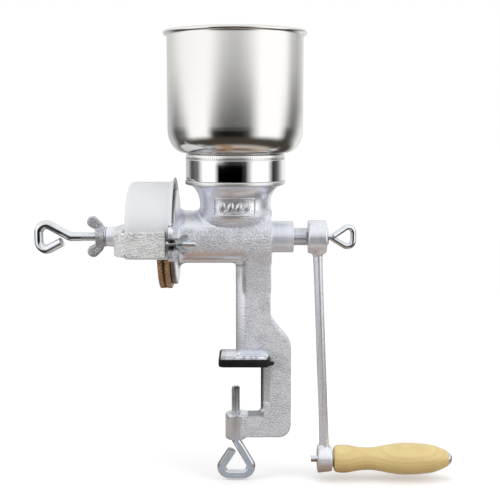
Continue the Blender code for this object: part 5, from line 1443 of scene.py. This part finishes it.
@dataclass
class Guard:
    """The white hood over the discs."""

    radius: float = 57.0
    wall: float = 1.5
    corner: float = 6.2
    lip: float = 4.5
    open_end: float = -61.4
    closed_end: float = -109.0
    skirt: float = -16.7
    slot_half: float = 15.0

    def build(self, shop: Workshop) -> None:
        """Build the hood and enter it."""
        inner, lip = self.radius - self.wall, self.radius + self.lip
        left, right = self.closed_end, self.open_end
        profile = softened((
            (left, 0.0, 0.0), (left, self.radius, self.corner), (right - 3.6, self.radius, 2.8),
            (right - 1.5, lip, 0.5), (right, lip, 0.5), (right - 2.2, inner + 0.8, 2.4),
            (left + self.wall, inner, self.corner - self.wall), (left + self.wall, 0.0, 0.0)), steps=8)
        paint = shop.finishes.paint
        hood = lathe("guard_hood", profile, Axis.X, paint, 160)
        far = lip + 4.0
        below = bar("below", (left - 4.0, -far, -far), (right + 4.0, far, self.skirt), paint)
        notch = bar("notch", (-64.9, -far, -far), (right + 4.0, far, 17.3), paint)
        start, end, half = left - 3.0, left + 4.0, self.slot_half
        way = lathe("way", [(start, 0.0), (start, half), (end, half), (end, 0.0)], Axis.X, paint, 64)
        way_low = bar("way_low", (start, -half, -far), (end, half, 0.0), paint)
        hood = cut_away(hood, [below, notch, way, way_low], paint, 0.35)
        enter(hood, Body.FRAME, Slot.WHITE_PAINT, "flour_guard")


@dataclass
class GrindingSet:
    """The two grinding discs and what turns inside them."""

    radius: float = 53.5
    thickness: float = 5.7
    fixed_back: float = -65.2
    rotor_face: float = -71.8
    bore: float = 20.5
    shaft_bore: float = 9.4
    rib_height: float = 1.3
    ribs: int = 76
    feed_ribs: int = 14
    hub_radius: float = 15.5
    hub_end: float = -83.5

    def _ribs(self, shop: Workshop, name: str, face: float, towards: float) -> list[Object]:
        """Return the fine outer ribs and the coarse inner ribs of one disc's face.

        Args:
            shop: the finishes and trees.
            name: start of the objects' names.
            face: the place of the ribs' crests.
            towards: the direction from the crests into the disc.

        Returns:
            The two rings of ribs.
        """
        rings = []
        rows = (("fine", 34.0, self.radius - 0.1, 1.5, 0.4, self.ribs),
                ("feed", self.bore + 0.4, 33.0, 2.6, 1.4, self.feed_ribs))
        half_step = math.pi / self.ribs if towards < 0.0 else 0.0
        for word, inner, outer, foot, crest, count in rows:
            root = face + towards * (self.rib_height + 0.4)
            spots = []
            for out in (inner, outer):
                low, high = foot * (out / outer), crest * (out / outer)
                spots += [(root, -low, out), (root, low, out), (face, high, out), (face, -high, out)]
            faces = [(0, 1, 2, 3), (4, 7, 6, 5), (0, 4, 5, 1), (1, 5, 6, 2), (2, 6, 7, 3), (3, 7, 4, 0)]
            rib = mesh_piece(f"{name}_{word}", np.array(spots), faces, shop.finishes.disc)
            for height, turn in ((inner, math.radians(8.0)), (0.0, half_step)):
                pivot = shift_to((0.0, 0.0, height))
                rib.data.transform(pivot @ Matrix.Rotation(turn, 4, "X") @ pivot.inverted())
            shaft = (0.0, 0.0, SHAFT_HEIGHT * MM)
            rings.append(shop.ring.round(rib, shop.finishes.disc, count, (1.0, 0.0, 0.0), shaft))
        return rings

    def build(self, shop: Workshop) -> None:
        """Build both discs and enter them."""
        iron = shop.finishes.disc
        face = self.fixed_back - self.thickness + 0.2
        ground = face + self.rib_height
        plate = softened(((ground, self.bore, 0.3), (ground, self.radius, 0.4),
                          (self.fixed_back, self.radius, 0.6), (self.fixed_back, self.bore, 0.3)),
                         closed=True)
        fixed = lathe("fixed_plate", plate, Axis.X, iron, 160, closed=True)
        fixed = joined("fixed_disc_ground", [fixed, *self._ribs(shop, "fixed", face, 1.0)])
        enter(fixed, Body.FRAME, Slot.DISC_IRON, "fixed_disc")
        back = self.rotor_face - self.thickness
        ground = self.rotor_face - self.rib_height
        plate = softened((
            (self.hub_end, self.shaft_bore, 0.3), (self.hub_end, self.hub_radius, 0.8),
            (back, self.hub_radius + 0.4, 1.6), (back, self.radius - 4.0, 0.8),
            (back + 0.5, self.radius, 0.6), (ground, self.radius, 0.4), (ground, self.shaft_bore, 0.3)),
            closed=True)
        rotor = lathe("rotor_plate", plate, Axis.X, iron, 160, closed=True)
        slot = bar("slot", (self.hub_end - 3.0, -2.8, -13.8), (-77.6, 2.8, 13.8), iron)
        rotor = cut_away(rotor, [slot], iron)
        rotor = joined("rotor_disc_ground", [rotor, *self._ribs(shop, "rotor", self.rotor_face, -1.0)])
        enter(rotor, Body.ROTOR, Slot.DISC_IRON, "rotating_disc")


@dataclass
class YokeSet:
    """The yoke with its bolts and small wing nuts."""

    outer: float = 75.0
    arm: float = 69.8
    lug_inner: float = 58.3
    bar_inner: float = -109.8
    bar_outer: float = -118.0
    lug_left: float = -78.6
    lug_right: float = -67.0
    half_height: float = 13.3
    bar_half: float = 11.3
    boss_face: float = -133.5
    bolt_offset: float = 64.0
    bolt_radius: float = 3.0

    def _half_outline(self) -> list[Spot]:
        """Return one half of the plan, from the bar's middle round the lug and back."""
        return [
            (self.bar_inner, 0.0, 0.0), (self.bar_inner, -self.arm, 8.0), (self.lug_left, -self.arm, 1.5),
            (self.lug_left, -self.lug_inner, 1.0), (self.lug_right, -self.lug_inner, 1.0),
            (self.lug_right, -self.outer, 1.4), (self.bar_outer, -self.outer, 17.0),
            (self.bar_outer, 0.0, 0.0),
        ]

    def casting(self, finish: Material) -> Object:
        """Return the yoke's casting."""
        field = CastField((-135.5, -77.0, -15.5), (-65.0, 77.0, 15.5), 0.72)
        half = softened(self._half_outline(), steps=8)
        outline = half + [(along, -across) for along, across in reversed(half[1:-1])]
        field.add(field.plate(outline, Plane.XY, 0.0, self.half_height, 1.8))
        upper = [(-60.0, self.half_height), (self.bar_outer + 26.0, self.half_height),
                 (self.bar_outer - 3.0, self.bar_half)]
        side = [(along, -up) for along, up in reversed(upper)] + upper
        field.keep(field.plate(side, Plane.XZ, 0.0, 90.0), 1.8)
        boss = [(self.boss_face, 0.0), (self.boss_face, 9.3), (self.boss_face + 0.6, 9.9), (-121.0, 11.0),
                (-112.0, 11.2), (-112.0, 0.0)]
        field.add(field.turned(boss, Axis.X), 5.0)
        field.drill(-140.0, -100.0, 5.1, Axis.X, 0.8)
        for offset in (-self.bolt_offset, self.bolt_offset):
            field.drill(-90.0, -60.0, 3.3, Axis.X, 0.8, (offset, 0.0))
        return field.surface("yoke_casting", finish)

    def bolt(self, shop: Workshop, name: str, side: float) -> Object:
        """Return one square-headed bolt with its thread."""
        zinc, head = shop.finishes.zinc, self.lug_left - 0.3
        at = (0.0, side * self.bolt_offset, 0.0)
        core = self.bolt_radius - 0.42
        start, end = head - 1.0, head + 41.5
        profile = softened(((start, 0.0, 0.0), (start, core, 0.0), (end, core, 0.7), (end, 0.0, 0.0)))
        shank = lathe(f"{name}_shank", profile, Axis.X, zinc, 32, at)
        cap = bar(f"{name}_cap", (head - 4.8, at[1] - 5.0, -5.0), (head, at[1] + 5.0, 5.0), zinc, 0.7)
        thread = shop.thread(f"{name}_thread", self.bolt_radius, 1.0, (head + 12.0, at[1], 0.0), 28.6,
                             Axis.X, zinc)
        return joined(name, [shank, cap, thread])

    def build(self, shop: Workshop) -> None:
        """Build yoke, bolts and nuts, and enter them."""
        enter(self.casting(shop.finishes.yoke), Body.FRAME, Slot.TINNED_IRON, "yoke")
        face = self.boss_face - 0.04
        profile = softened(((face, 5.3, 0.3), (face, 9.96, 0.7), (-123.5, 10.72, 0.0), (-122.5, 9.0, 0.0),
                            (-128.0, 5.3, 0.0)), closed=True)
        skin = lathe("yoke_boss_skin", profile, Axis.X, shop.finishes.machined, 96, closed=True)
        enter(skin, Body.FRAME, Slot.TINNED_IRON)
        for word, side, body in (("front", -1.0, Body.NUT_FRONT), ("rear", 1.0, Body.NUT_REAR)):
            bolt = self.bolt(shop, f"square_bolt_{word}", side)
            enter(bolt, Body.FRAME, Slot.ZINC_STEEL, f"yoke_bolt_{word}")
            nut = SMALL_WINGS.build(f"small_wings_{word}", (-58.0, side * self.bolt_offset, 0.0), 1.0,
                                    side * math.radians(58.0), shop.finishes.dull_zinc)
            enter(nut, body, Slot.CAST_ZINC, f"wing_nut_{word}")


@dataclass(frozen=True)
class WingNut:
    """A cast wing nut whose two wings sweep away from its seat."""

    bore: float
    base: float
    base_height: float
    hub: float
    hub_length: float
    wing: tuple[Spot, ...]
    half_thickness: float
    pitch: float

    def build(self, name: str, seat: Spot, direction: float, lean: float,
              finish: Material) -> Object:
        """Return the nut.

        Args:
            name: the object's name.
            seat: the centre of its seat.
            direction: which way along X it reaches from the seat.
            lean: its turn about X.
            finish: its material.

        Returns:
            The object.
        """
        reach = max(along + radius for along, _, radius in self.wing) + 1.5
        height = max(up + radius for _, up, radius in self.wing) + 1.5
        box = ((-1.5, -self.base - 1.5, -height), (reach, self.base + 1.5, height))
        field = CastField(*box, self.pitch)
        hub = [(0.0, 0.0), (0.0, self.base), (self.base_height, self.base),
               (self.base_height + 0.8, self.hub + 0.4), (self.hub_length, self.hub), (self.hub_length, 0.0)]
        for side in (-1.0, 1.0):
            wing = CastField(*box, self.pitch)
            for (start, low, thin), (end, high, thick) in zip(self.wing, self.wing[1:]):
                wing.add(wing.beam((start, 0.0, side * low), (end, 0.0, side * high), thin, thick))
            flat = np.abs(wing.axes[1])[None, :, None] - self.half_thickness
            wing.keep(flat, self.half_thickness * 1.1)
            field.add(wing.values, self.half_thickness)
        field.add(field.turned(hub, Axis.X), self.half_thickness)
        field.keep(-self.bounded(field), 0.6)
        field.drill(-4.0, reach + 4.0, self.bore, Axis.X, 0.5)
        nut = field.surface(name, finish)
        middle = Matrix.Translation((0.0, 0.0, SHAFT_HEIGHT * MM))
        mirror = Matrix.Rotation(math.pi, 4, "Z") if direction < 0.0 else Matrix.Identity(4)
        place = shift_to(seat)
        nut.data.transform(place @ Matrix.Rotation(lean, 4, "X") @ mirror @ middle.inverted())
        return nut

    @staticmethod
    def bounded(field: CastField) -> np.ndarray:
        """Return distances that keep the nut behind its flat seat."""
        return np.broadcast_to(field.axes[0][:, None, None], field.values.shape)


SMALL_WINGS = WingNut(
    bore=3.3, base=6.0, base_height=2.0, hub=5.0, hub_length=7.8,
    wing=((3.6, 4.2, 2.8), (5.8, 7.4, 3.0), (8.7, 10.4, 3.5)), half_thickness=1.2, pitch=0.3)
LARGE_WINGS = WingNut(
    bore=5.1, base=9.8, base_height=1.8, hub=7.4, hub_length=9.5,
    wing=((4.4, 6.6, 4.6), (6.8, 11.2, 5.2), (12.4, 15.4, 6.2)), half_thickness=2.1, pitch=0.42)


@dataclass
class Adjuster:
    """The adjusting screw with its lock washer and lock wing nut."""

    tip: float = -93.2
    thread_end: float = -160.0
    bend: float = -171.4
    washer_right: float = -133.8
    washer_left: float = -135.0
    nut_seat: float = -135.3

    def build(self, shop: Workshop) -> None:
        """Build screw, washer and nut, and enter them."""
        zinc, end, bend = shop.finishes.zinc, self.thread_end, self.bend
        far = bend - 32.5
        eye = ((end + 0.5, 0.0, 0.0), (bend, 0.0, 0.0), (far, 0.0, 18.0), (far, 0.0, -18.0),
               (bend - 7.8, -6.0, -4.8))
        parts = shop.big_screw("adjust", eye, (10.0, 8.0, 8.0), (end, self.tip), Axis.X, zinc)
        enter(joined("adjust_screw_wire", parts), Body.ADJUSTER, Slot.ZINC_STEEL, "adjusting_screw")
        ring = washer("lock_ring", (self.washer_left, self.washer_right), 5.2, 10.5, 0.4, zinc)
        enter(ring, Body.LOCK_WASHER, Slot.ZINC_STEEL, "lock_washer")
        nut = LARGE_WINGS.build("lock_wings", (self.nut_seat, 0.0, 0.0), -1.0, 0.0, shop.finishes.wing)
        enter(nut, Body.LOCK_NUT, Slot.CAST_ZINC, "lock_wing_nut")


@dataclass
class Crank:
    """The crank with its screw and washer, and the turned grip on its bolt."""

    hub_left: float = 75.0
    hub_right: float = 94.4
    hub_radius: float = 17.2
    throw: float = 239.3
    splay: float = 10.2
    arm_half_width: float = 5.0
    arm_half_depth: float = 7.6
    boss_centre: float = 94.9
    boss_length: float = 15.7
    boss_radius: float = 15.0
    grip_left: float = 104.45
    grip_length: float = 122.0
    grip_radius: float = 16.8
    grip_shares: tuple[Flat, ...] = (
        (0.000, 0.64), (0.010, 0.78), (0.040, 0.865), (0.110, 0.870), (0.170, 0.800), (0.245, 0.722),
        (0.325, 0.710), (0.405, 0.785), (0.490, 0.905), (0.570, 0.980), (0.645, 1.000), (0.760, 0.960),
        (0.860, 0.870), (0.925, 0.720), (0.975, 0.560), (1.000, 0.470),
    )

    def _arm(self, field: CastField) -> np.ndarray:
        """Return the arm: a leaning bar with a soft ridge down its front and back."""
        x, y, z = np.meshgrid(*field.axes, indexing="ij", sparse=True)
        along = np.clip(-z / self.throw, 0.0, 1.0)
        swell = 0.94 + 0.26 * np.exp(-along / 0.06) + 0.22 * np.exp(-(1.0 - along) / 0.07)
        middle = (self.hub_left + self.hub_right) / 2
        across = (x - middle - self.splay * along) / (self.arm_half_width * swell)
        deep = y / (self.arm_half_depth * swell) + 0.0 * across
        outline = softened(((-1.0, -0.42, 0.35), (0.25, -1.0, 0.5), (1.0, -0.5, 0.3), (1.0, 0.5, 0.3),
                            (0.25, 1.0, 0.5), (-1.0, 0.42, 0.35)), closed=True, steps=3)
        section = outline_distance(across, deep, outline) * self.arm_half_width
        return np.maximum(section, np.maximum(z + 4.0, -self.throw + 4.0 - z))

    def casting(self, finish: Material) -> Object:
        """Return hub, arm and handle boss as one casting."""
        field = CastField((73.0, -19.5, -257.0), (105.0, 19.5, 19.5), 0.75)
        hub = softened(((self.hub_left, 0.0, 0.0), (self.hub_left, self.hub_radius, 1.6),
                        (self.hub_right, self.hub_radius, 1.8), (self.hub_right, 0.0, 0.0)))
        field.add(field.turned(hub, Axis.X))
        field.add(self._arm(field), 4.0)
        left, right = self.boss_centre - self.boss_length / 2, self.boss_centre + self.boss_length / 2
        boss = softened(((left, 0.0, 0.0), (left, self.boss_radius, 2.2),
                         (right, self.boss_radius - 2.0, 1.6), (right, 0.0, 0.0)))
        field.add(field.turned(boss, Axis.X, (0.0, -self.throw)), 3.5)
        field.keep(np.broadcast_to((field.axes[0] - right)[:, None, None], field.values.shape), 0.8)
        return field.surface("crank_casting", finish)

    def grip(self, finish: Material) -> Object:
        """Return the turned grip."""
        end = self.grip_left + self.grip_length
        spots = [(self.grip_left + self.grip_length * along, self.grip_radius * out)
                 for along, out in self.grip_shares]
        line = [(min(along, end), min(out, self.grip_radius)) for along, out in flowing(spots, 6)]
        profile = [*line, (end, 4.2), (end - 1.5, 3.9), (self.grip_left + 1.5, 3.9), (self.grip_left, 4.2)]
        return lathe("grip_turning", profile, Axis.X, finish, 128, (0.0, 0.0, -self.throw), closed=True)

    def handle_bolt(self, finish: Material) -> Object:
        """Return the bolt with its domed head and its slotted end."""
        tip, seat = 80.25, self.grip_left + self.grip_length + 0.3
        turns = [math.radians(turn) for turn in range(0, 91, 9)]
        dome = [(seat + 4.3 * math.sin(turn), 6.8 * math.cos(turn)) for turn in turns]
        profile = [(tip, 0.0), (tip, 3.0), (tip + 0.4, 3.4), (seat, 3.4), (seat, 6.5), (seat + 0.3, 6.8),
                   *dome[1:-1], (dome[-1][0], 0.0)]
        bolt = lathe("grip_bolt", profile, Axis.X, finish, 64, (0.0, 0.0, -self.throw))
        slot = bar("slot", (tip - 2.0, -6.0, -self.throw - 0.7), (tip + 4.0, 6.0, -self.throw + 0.7), finish)
        return cut_away(bolt, [slot], finish)

    def screw(self, shop: Workshop) -> Object:
        """Return the small eye screw that holds the crank."""
        bend = 97.7
        corners = ((76.5, 0.0, 0.0), (bend, 0.0, 0.0), (bend + 24.6, 0.0, -15.0), (bend + 24.6, 0.0, 15.0),
                   (bend + 3.2, -6.6, 1.2))
        route = bent_route(corners, (10.0, 6.2, 6.2))
        return wire("crank_screw_wire", route, 3.1, shop.finishes.zinc, sides=8)

    def build(self, shop: Workshop) -> None:
        """Build crank, screw, washers, grip and bolt, and enter them."""
        zinc = shop.finishes.zinc
        enter(self.casting(shop.finishes.crank), Body.ROTOR, Slot.CRANK_IRON, "crank_arm")
        enter(self.screw(shop), Body.CRANK_SCREW, Slot.ZINC_STEEL, "crank_screw")
        ring = washer("crank_ring", (94.7, 96.5), 3.5, 8.4, 0.5, zinc)
        enter(ring, Body.CRANK_WASHER, Slot.ZINC_STEEL, "crank_washer")
        enter(self.grip(shop.finishes.wood), Body.GRIP, Slot.WOOD, "handle_grip")
        enter(self.handle_bolt(zinc), Body.ROTOR, Slot.ZINC_STEEL, "handle_bolt")
        ring = washer("grip_ring", (103.05, 104.15), 3.8, 8.5, 0.4, zinc, (0.0, 0.0, -self.throw))
        enter(ring, Body.ROTOR, Slot.ZINC_STEEL, "handle_washer")


# Studio


@dataclass
class Studio:
    """Camera, floor, soft lamps and the dark cards that the bright metal mirrors."""

    target: Spot = (0.01508, 0.0, 0.1194)
    distance: float = 1.0
    pitch: float = 7.5
    lens: float = 69.23
    floor_height: float = -0.1290
    floor_reach: float = 12.0
    floor_tone: Colour = (0.92, 0.92, 0.92)
    world_strength: float = 0.55
    floor_glow: Flat = (0.28, 0.60)
    patch_tone: Colour = (0.38, 0.25, 0.15)
    patch_corners: tuple[Flat, ...] = ((-0.2, -0.26), (-0.03, -0.26), (-0.005, -0.05), (-0.045, -0.05))
    floor_bounce: Colour = (0.40, 0.31, 0.25)
    foot_tone: Colour = (0.40, 0.415, 0.44)
    foot_half: float = 0.056
    foot_front: float = -0.034
    foot_back: float = 0.03
    foot_rise: float = 0.044
    tent_radius: float = 1.9
    tent_height: float = 1.3
    board: tuple[tuple[float, Colour], ...] = (
        (0.0, (0.18, 0.09, 0.04)), (0.11, (0.18, 0.09, 0.04)), (0.16, (0.45, 0.41, 0.37)),
        (0.23, (0.45, 0.42, 0.39)), (0.32, (0.05, 0.042, 0.034)), (0.6, (0.05, 0.042, 0.034)),
    )
    panel_strength: float = 1.25
    row_edges: tuple[Flat, Flat] = ((0.352, 0.41), (0.404, 0.54))
    low_panels: tuple[Flat, ...] = (
        (-180.0, 0.60), (-136.0, 0.45), (-118.0, 0.06), (-94.0, 0.16), (-77.0, 0.95), (-48.0, 1.0),
        (-37.0, 0.0),
        (14.0, 0.0), (24.0, 0.04), (42.0, 1.0), (78.0, 1.0), (96.0, 0.02), (112.0, 0.10), (142.0, 0.80),
        (180.0, 0.60),
    )
    rail_panels: tuple[Flat, ...] = (
        (-180.0, 0.66), (-134.0, 0.40), (-112.0, 0.30), (-90.0, 0.95), (-40.0, 1.0), (-22.0, 0.14),
        (-10.0, 0.04),
        (12.0, 0.06), (24.0, 0.12), (44.0, 1.0), (90.0, 1.0), (106.0, 0.20), (120.0, 0.10), (152.0, 0.60),
        (180.0, 0.70),
    )
    high_panels: tuple[Flat, ...] = (
        (-180.0, 0.60), (-135.0, 0.58), (-98.0, 0.88), (-38.0, 0.94), (-18.0, 0.66), (-4.0, 0.56),
        (8.0, 0.58),
        (28.0, 0.84), (42.0, 1.0), (92.0, 1.0), (108.0, 0.56), (126.0, 0.44), (154.0, 0.66), (180.0, 0.62),
    )

    lamps: tuple[tuple[str, Spot, Flat, float], ...] = (
        ("left_softbox", (-1.35, -0.57, 0.75), (0.7, 1.3), 7.5),
        ("right_softbox", (1.2, -0.75, 0.7), (0.7, 1.3), 6.0),
        ("top_softbox", (0.0, -0.1, 1.6), (1.4, 1.2), 7.5),
    )

    def camera(self) -> None:
        """Set the camera at the photograph's angle."""
        camera = placed("camera", bpy.data.cameras.new("camera"))
        camera.data.lens = self.lens
        camera.data.sensor_width = 36.0
        camera.data.clip_start = 0.01
        turn = math.radians(self.pitch)
        offset = Vector((0.0, -math.cos(turn), math.sin(turn))) * self.distance
        camera.location = Vector(self.target) + offset
        camera.rotation_euler = (-offset).to_track_quat("-Z", "Y").to_euler()
        bpy.context.scene.camera = camera

    def world(self) -> None:
        """Set a plain white world, full bright where it is seen or mirrored."""
        world = bpy.data.worlds.new("studio")
        bpy.context.scene.world = world
        world.use_nodes = True
        wiring = Wiring(world.node_tree)
        background = world.node_tree.nodes["Background"]
        background.inputs["Color"].default_value = (1.0, 1.0, 1.0, 1.0)
        wiring.feed(background.inputs["Strength"], self.seen(wiring, self.world_strength, 1.0))

    def floor(self) -> None:
        """Lay the pale floor, white where the mill throws no shadow."""
        material, wiring, shader = new_material("pale floor")
        wiring.fill(shader, Roughness=0.9, Specular_IOR_Level=0.0, Emission_Color=(1.0, 1.0, 1.0, 1.0))
        place = wiring.add("ShaderNodeTexCoord").outputs["Object"]
        reach_node = wiring.add("ShaderNodeVectorMath", operation="LENGTH")
        wiring.feed(reach_node.inputs[0], place)
        distance, shown = reach_node.outputs["Value"], self.seen(wiring, 0.0, 1.0)
        glow = wiring.spread(distance, 0.5, 3.5, *self.floor_glow)
        wiring.fill(shader, Emission_Strength=wiring.times(glow, shown))
        pale = wiring.math("MAXIMUM", shown, wiring.spread(distance, 0.24, 0.50, 0.0, 1.0))
        tone = wiring.blend(pale, shade(self.floor_bounce), shade(self.floor_tone))
        wiring.fill(shader, Base_Color=tone)
        reach, height = self.floor_reach, self.floor_height
        self.sheet("floor", [(-reach, -reach, height), (reach, -reach, height), (reach, reach, height),
                             (-reach, reach, height)], material)

    @staticmethod
    def seen(wiring: Wiring, other: float, shown: float) -> NodeSocket:
        """Return one value for rays that show the background and another for the rest."""
        rays = wiring.add("ShaderNodeLightPath")
        ray = wiring.math("MAXIMUM", rays.outputs["Is Camera Ray"], rays.outputs["Is Glossy Ray"])
        ray = wiring.math("MAXIMUM", ray, rays.outputs["Is Transmission Ray"])
        return wiring.spread(ray, 0.0, 1.0, other, shown)

    @staticmethod
    def sheet(name: str, corners: Sequence[Spot], material: Material) -> Object:
        """Return a flat stage sheet between four corners in metres."""
        mesh = bpy.data.meshes.new(name)
        mesh.from_pydata(list(corners), [], [tuple(range(len(corners)))])
        mesh.materials.append(material)
        sheet = placed(name, mesh)
        return sheet

    @staticmethod
    def mirrored_only(piece: Object) -> None:
        """Show a stage piece to mirror reflections alone."""
        for ray in ("camera", "diffuse", "shadow", "transmission"):
            setattr(piece, f"visible_{ray}", False)

    @staticmethod
    def glowing(name: str, tone: Colour) -> Material:
        """Return a material that shows one even tone."""
        material, wiring, shader = new_material(name)
        wiring.fill(shader, Base_Color=(0.0, 0.0, 0.0, 1.0), Specular_IOR_Level=0.0,
                    Emission_Color=shade(tone), Emission_Strength=1.0)
        return material

    def warm_patch(self) -> None:
        """Lay the brown patch that the bowl's underside mirrors."""
        height = self.floor_height + 0.0015
        corners = [(across, along, height) for across, along in self.patch_corners]
        brown = self.glowing("brown patch", self.patch_tone)
        self.mirrored_only(self.sheet("brown_patch", corners, brown))

    def foot_cards(self) -> None:
        """Set two small grey cards, under and before the clamp screw's eye, for its wire to mirror."""
        grey = self.glowing("grey card", self.foot_tone)
        half, front, height = self.foot_half, self.foot_front, self.floor_height + 0.0018
        far_edges = (("card_under_foot", self.foot_back, height),
                     ("card_before_foot", front, self.floor_height + self.foot_rise))
        for name, along, up in far_edges:
            corners = [(-half, front, height), (half, front, height), (half, along, up), (-half, along, up)]
            self.mirrored_only(self.sheet(name, corners, grey))

    def tent_light(self) -> Material:
        """Return the light tent's material: a floor card and panels by bearing, in three rows."""
        material, wiring, shader = new_material("light tent")
        material.node_tree.nodes.remove(shader)
        place = wiring.add("ShaderNodeTexCoord").outputs["Object"]
        parts = wiring.add("ShaderNodeSeparateXYZ")
        wiring.feed(parts.inputs[0], place)
        bearing = wiring.math("ARCTAN2", parts.outputs["X"], wiring.times(parts.outputs["Y"], -1.0))
        share = wiring.spread(bearing, -math.pi, math.pi, 0.0, 1.0)
        floor = self.floor_height
        rises = [wiring.spread(parts.outputs["Z"], floor + low, floor + high, 0.0, 1.0)
                 for low, high in self.row_edges]
        squares = [wiring.times(parts.outputs[name], parts.outputs[name]) for name in ("X", "Y")]
        reach = wiring.math("SQRT", wiring.plus(*squares))
        card = wiring.ramp(reach, self.board)
        tones = [wiring.ramp(share, [(degrees / 360.0 + 0.5, (tone, tone, tone)) for degrees, tone in stops])
                 for stops in (self.low_panels, self.rail_panels, self.high_panels)]
        glow = wiring.add("ShaderNodeEmission")
        lower = wiring.blend(rises[0], tones[0], tones[1])
        panels = wiring.blend(rises[1], lower, tones[2])
        upright = wiring.spread(reach, 0.6, 1.05, 0.0, 1.0)
        wiring.fill(glow, Color=wiring.blend(upright, card, panels), Strength=self.panel_strength)
        wiring.fill(material.node_tree.nodes["Material Output"], Surface=glow.outputs[0])
        return material

    def tent(self, steps: int = 96) -> None:
        """Stand the light tent with its floor card round the set: the bands that the bright metal mirrors."""
        low, high = self.floor_height + 0.001, self.floor_height + self.tent_height
        turns = [2 * math.pi * (index + 0.5) / steps for index in range(steps)]
        spots = [(math.sin(turn) * out, -math.cos(turn) * out, up) for out, up in
                 ((0.0, low), (self.tent_radius, low), (self.tent_radius, high)) for turn in turns]
        mesh = bpy.data.meshes.new("light_tent")
        pairs = [(row, index, (index + 1) % steps) for row in (0, steps) for index in range(steps)]
        faces = [(row + index, row + after, row + steps + after, row + steps + index)
                 for row, index, after in pairs]
        mesh.from_pydata(spots, [], faces)
        mesh.materials.append(self.tent_light())
        tent = placed("light_tent", mesh)
        self.mirrored_only(tent)

    def lamp(self, name: str, spot: Spot, size: Flat, power: float) -> None:
        """Hang one soft lamp that faces the mill.

        Args:
            name: the lamp's name.
            spot: its place in metres.
            size: its width and height in metres.
            power: its power in watts.
        """
        light = bpy.data.lights.new(name, "AREA")
        light.shape = "RECTANGLE"
        light.size, light.size_y = size
        light.energy = power
        lamp = placed(name, light)
        lamp.location = spot
        lamp.rotation_euler = (Vector(self.target) - Vector(spot)).to_track_quat("-Z", "Y").to_euler()
        lamp.visible_glossy = False

    def build(self) -> None:
        """Set up the whole studio."""
        self.camera()
        self.world()
        self.floor()
        self.warm_patch()
        self.foot_cards()
        self.tent()
        for lamp in self.lamps:
            self.lamp(*lamp)
        bpy.context.scene.view_settings.view_transform = "Standard"


def dress_kept_nodes(frame: dict, finishes: Finishes) -> None:
    """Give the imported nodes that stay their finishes."""
    kept = (("auger_shaft", finishes.shaft), ("drive_pin", finishes.steel), ("thrust_ball", finishes.steel))
    for node, finish in kept:
        shown = frame["nodes"][node]
        shown.data.materials.clear()
        shown.data.materials.append(finish)
        LOG.info("%s keeps its packed shape", node)


def main() -> None:
    """Build every sub-assembly, then the studio."""
    logging.basicConfig(level=logging.INFO, format="%(name)s: %(message)s")
    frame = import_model()
    shop = Workshop(Finishes(), RingOfCopies(), HelixRidge())
    for assembly in (MillCasting, TableClamp, Hopper, Guard, GrindingSet, YokeSet, Adjuster, Crank):
        assembly().build(shop)
    dress_kept_nodes(frame, shop.finishes)
    Studio().build()


if __name__ == "__main__":
    main()
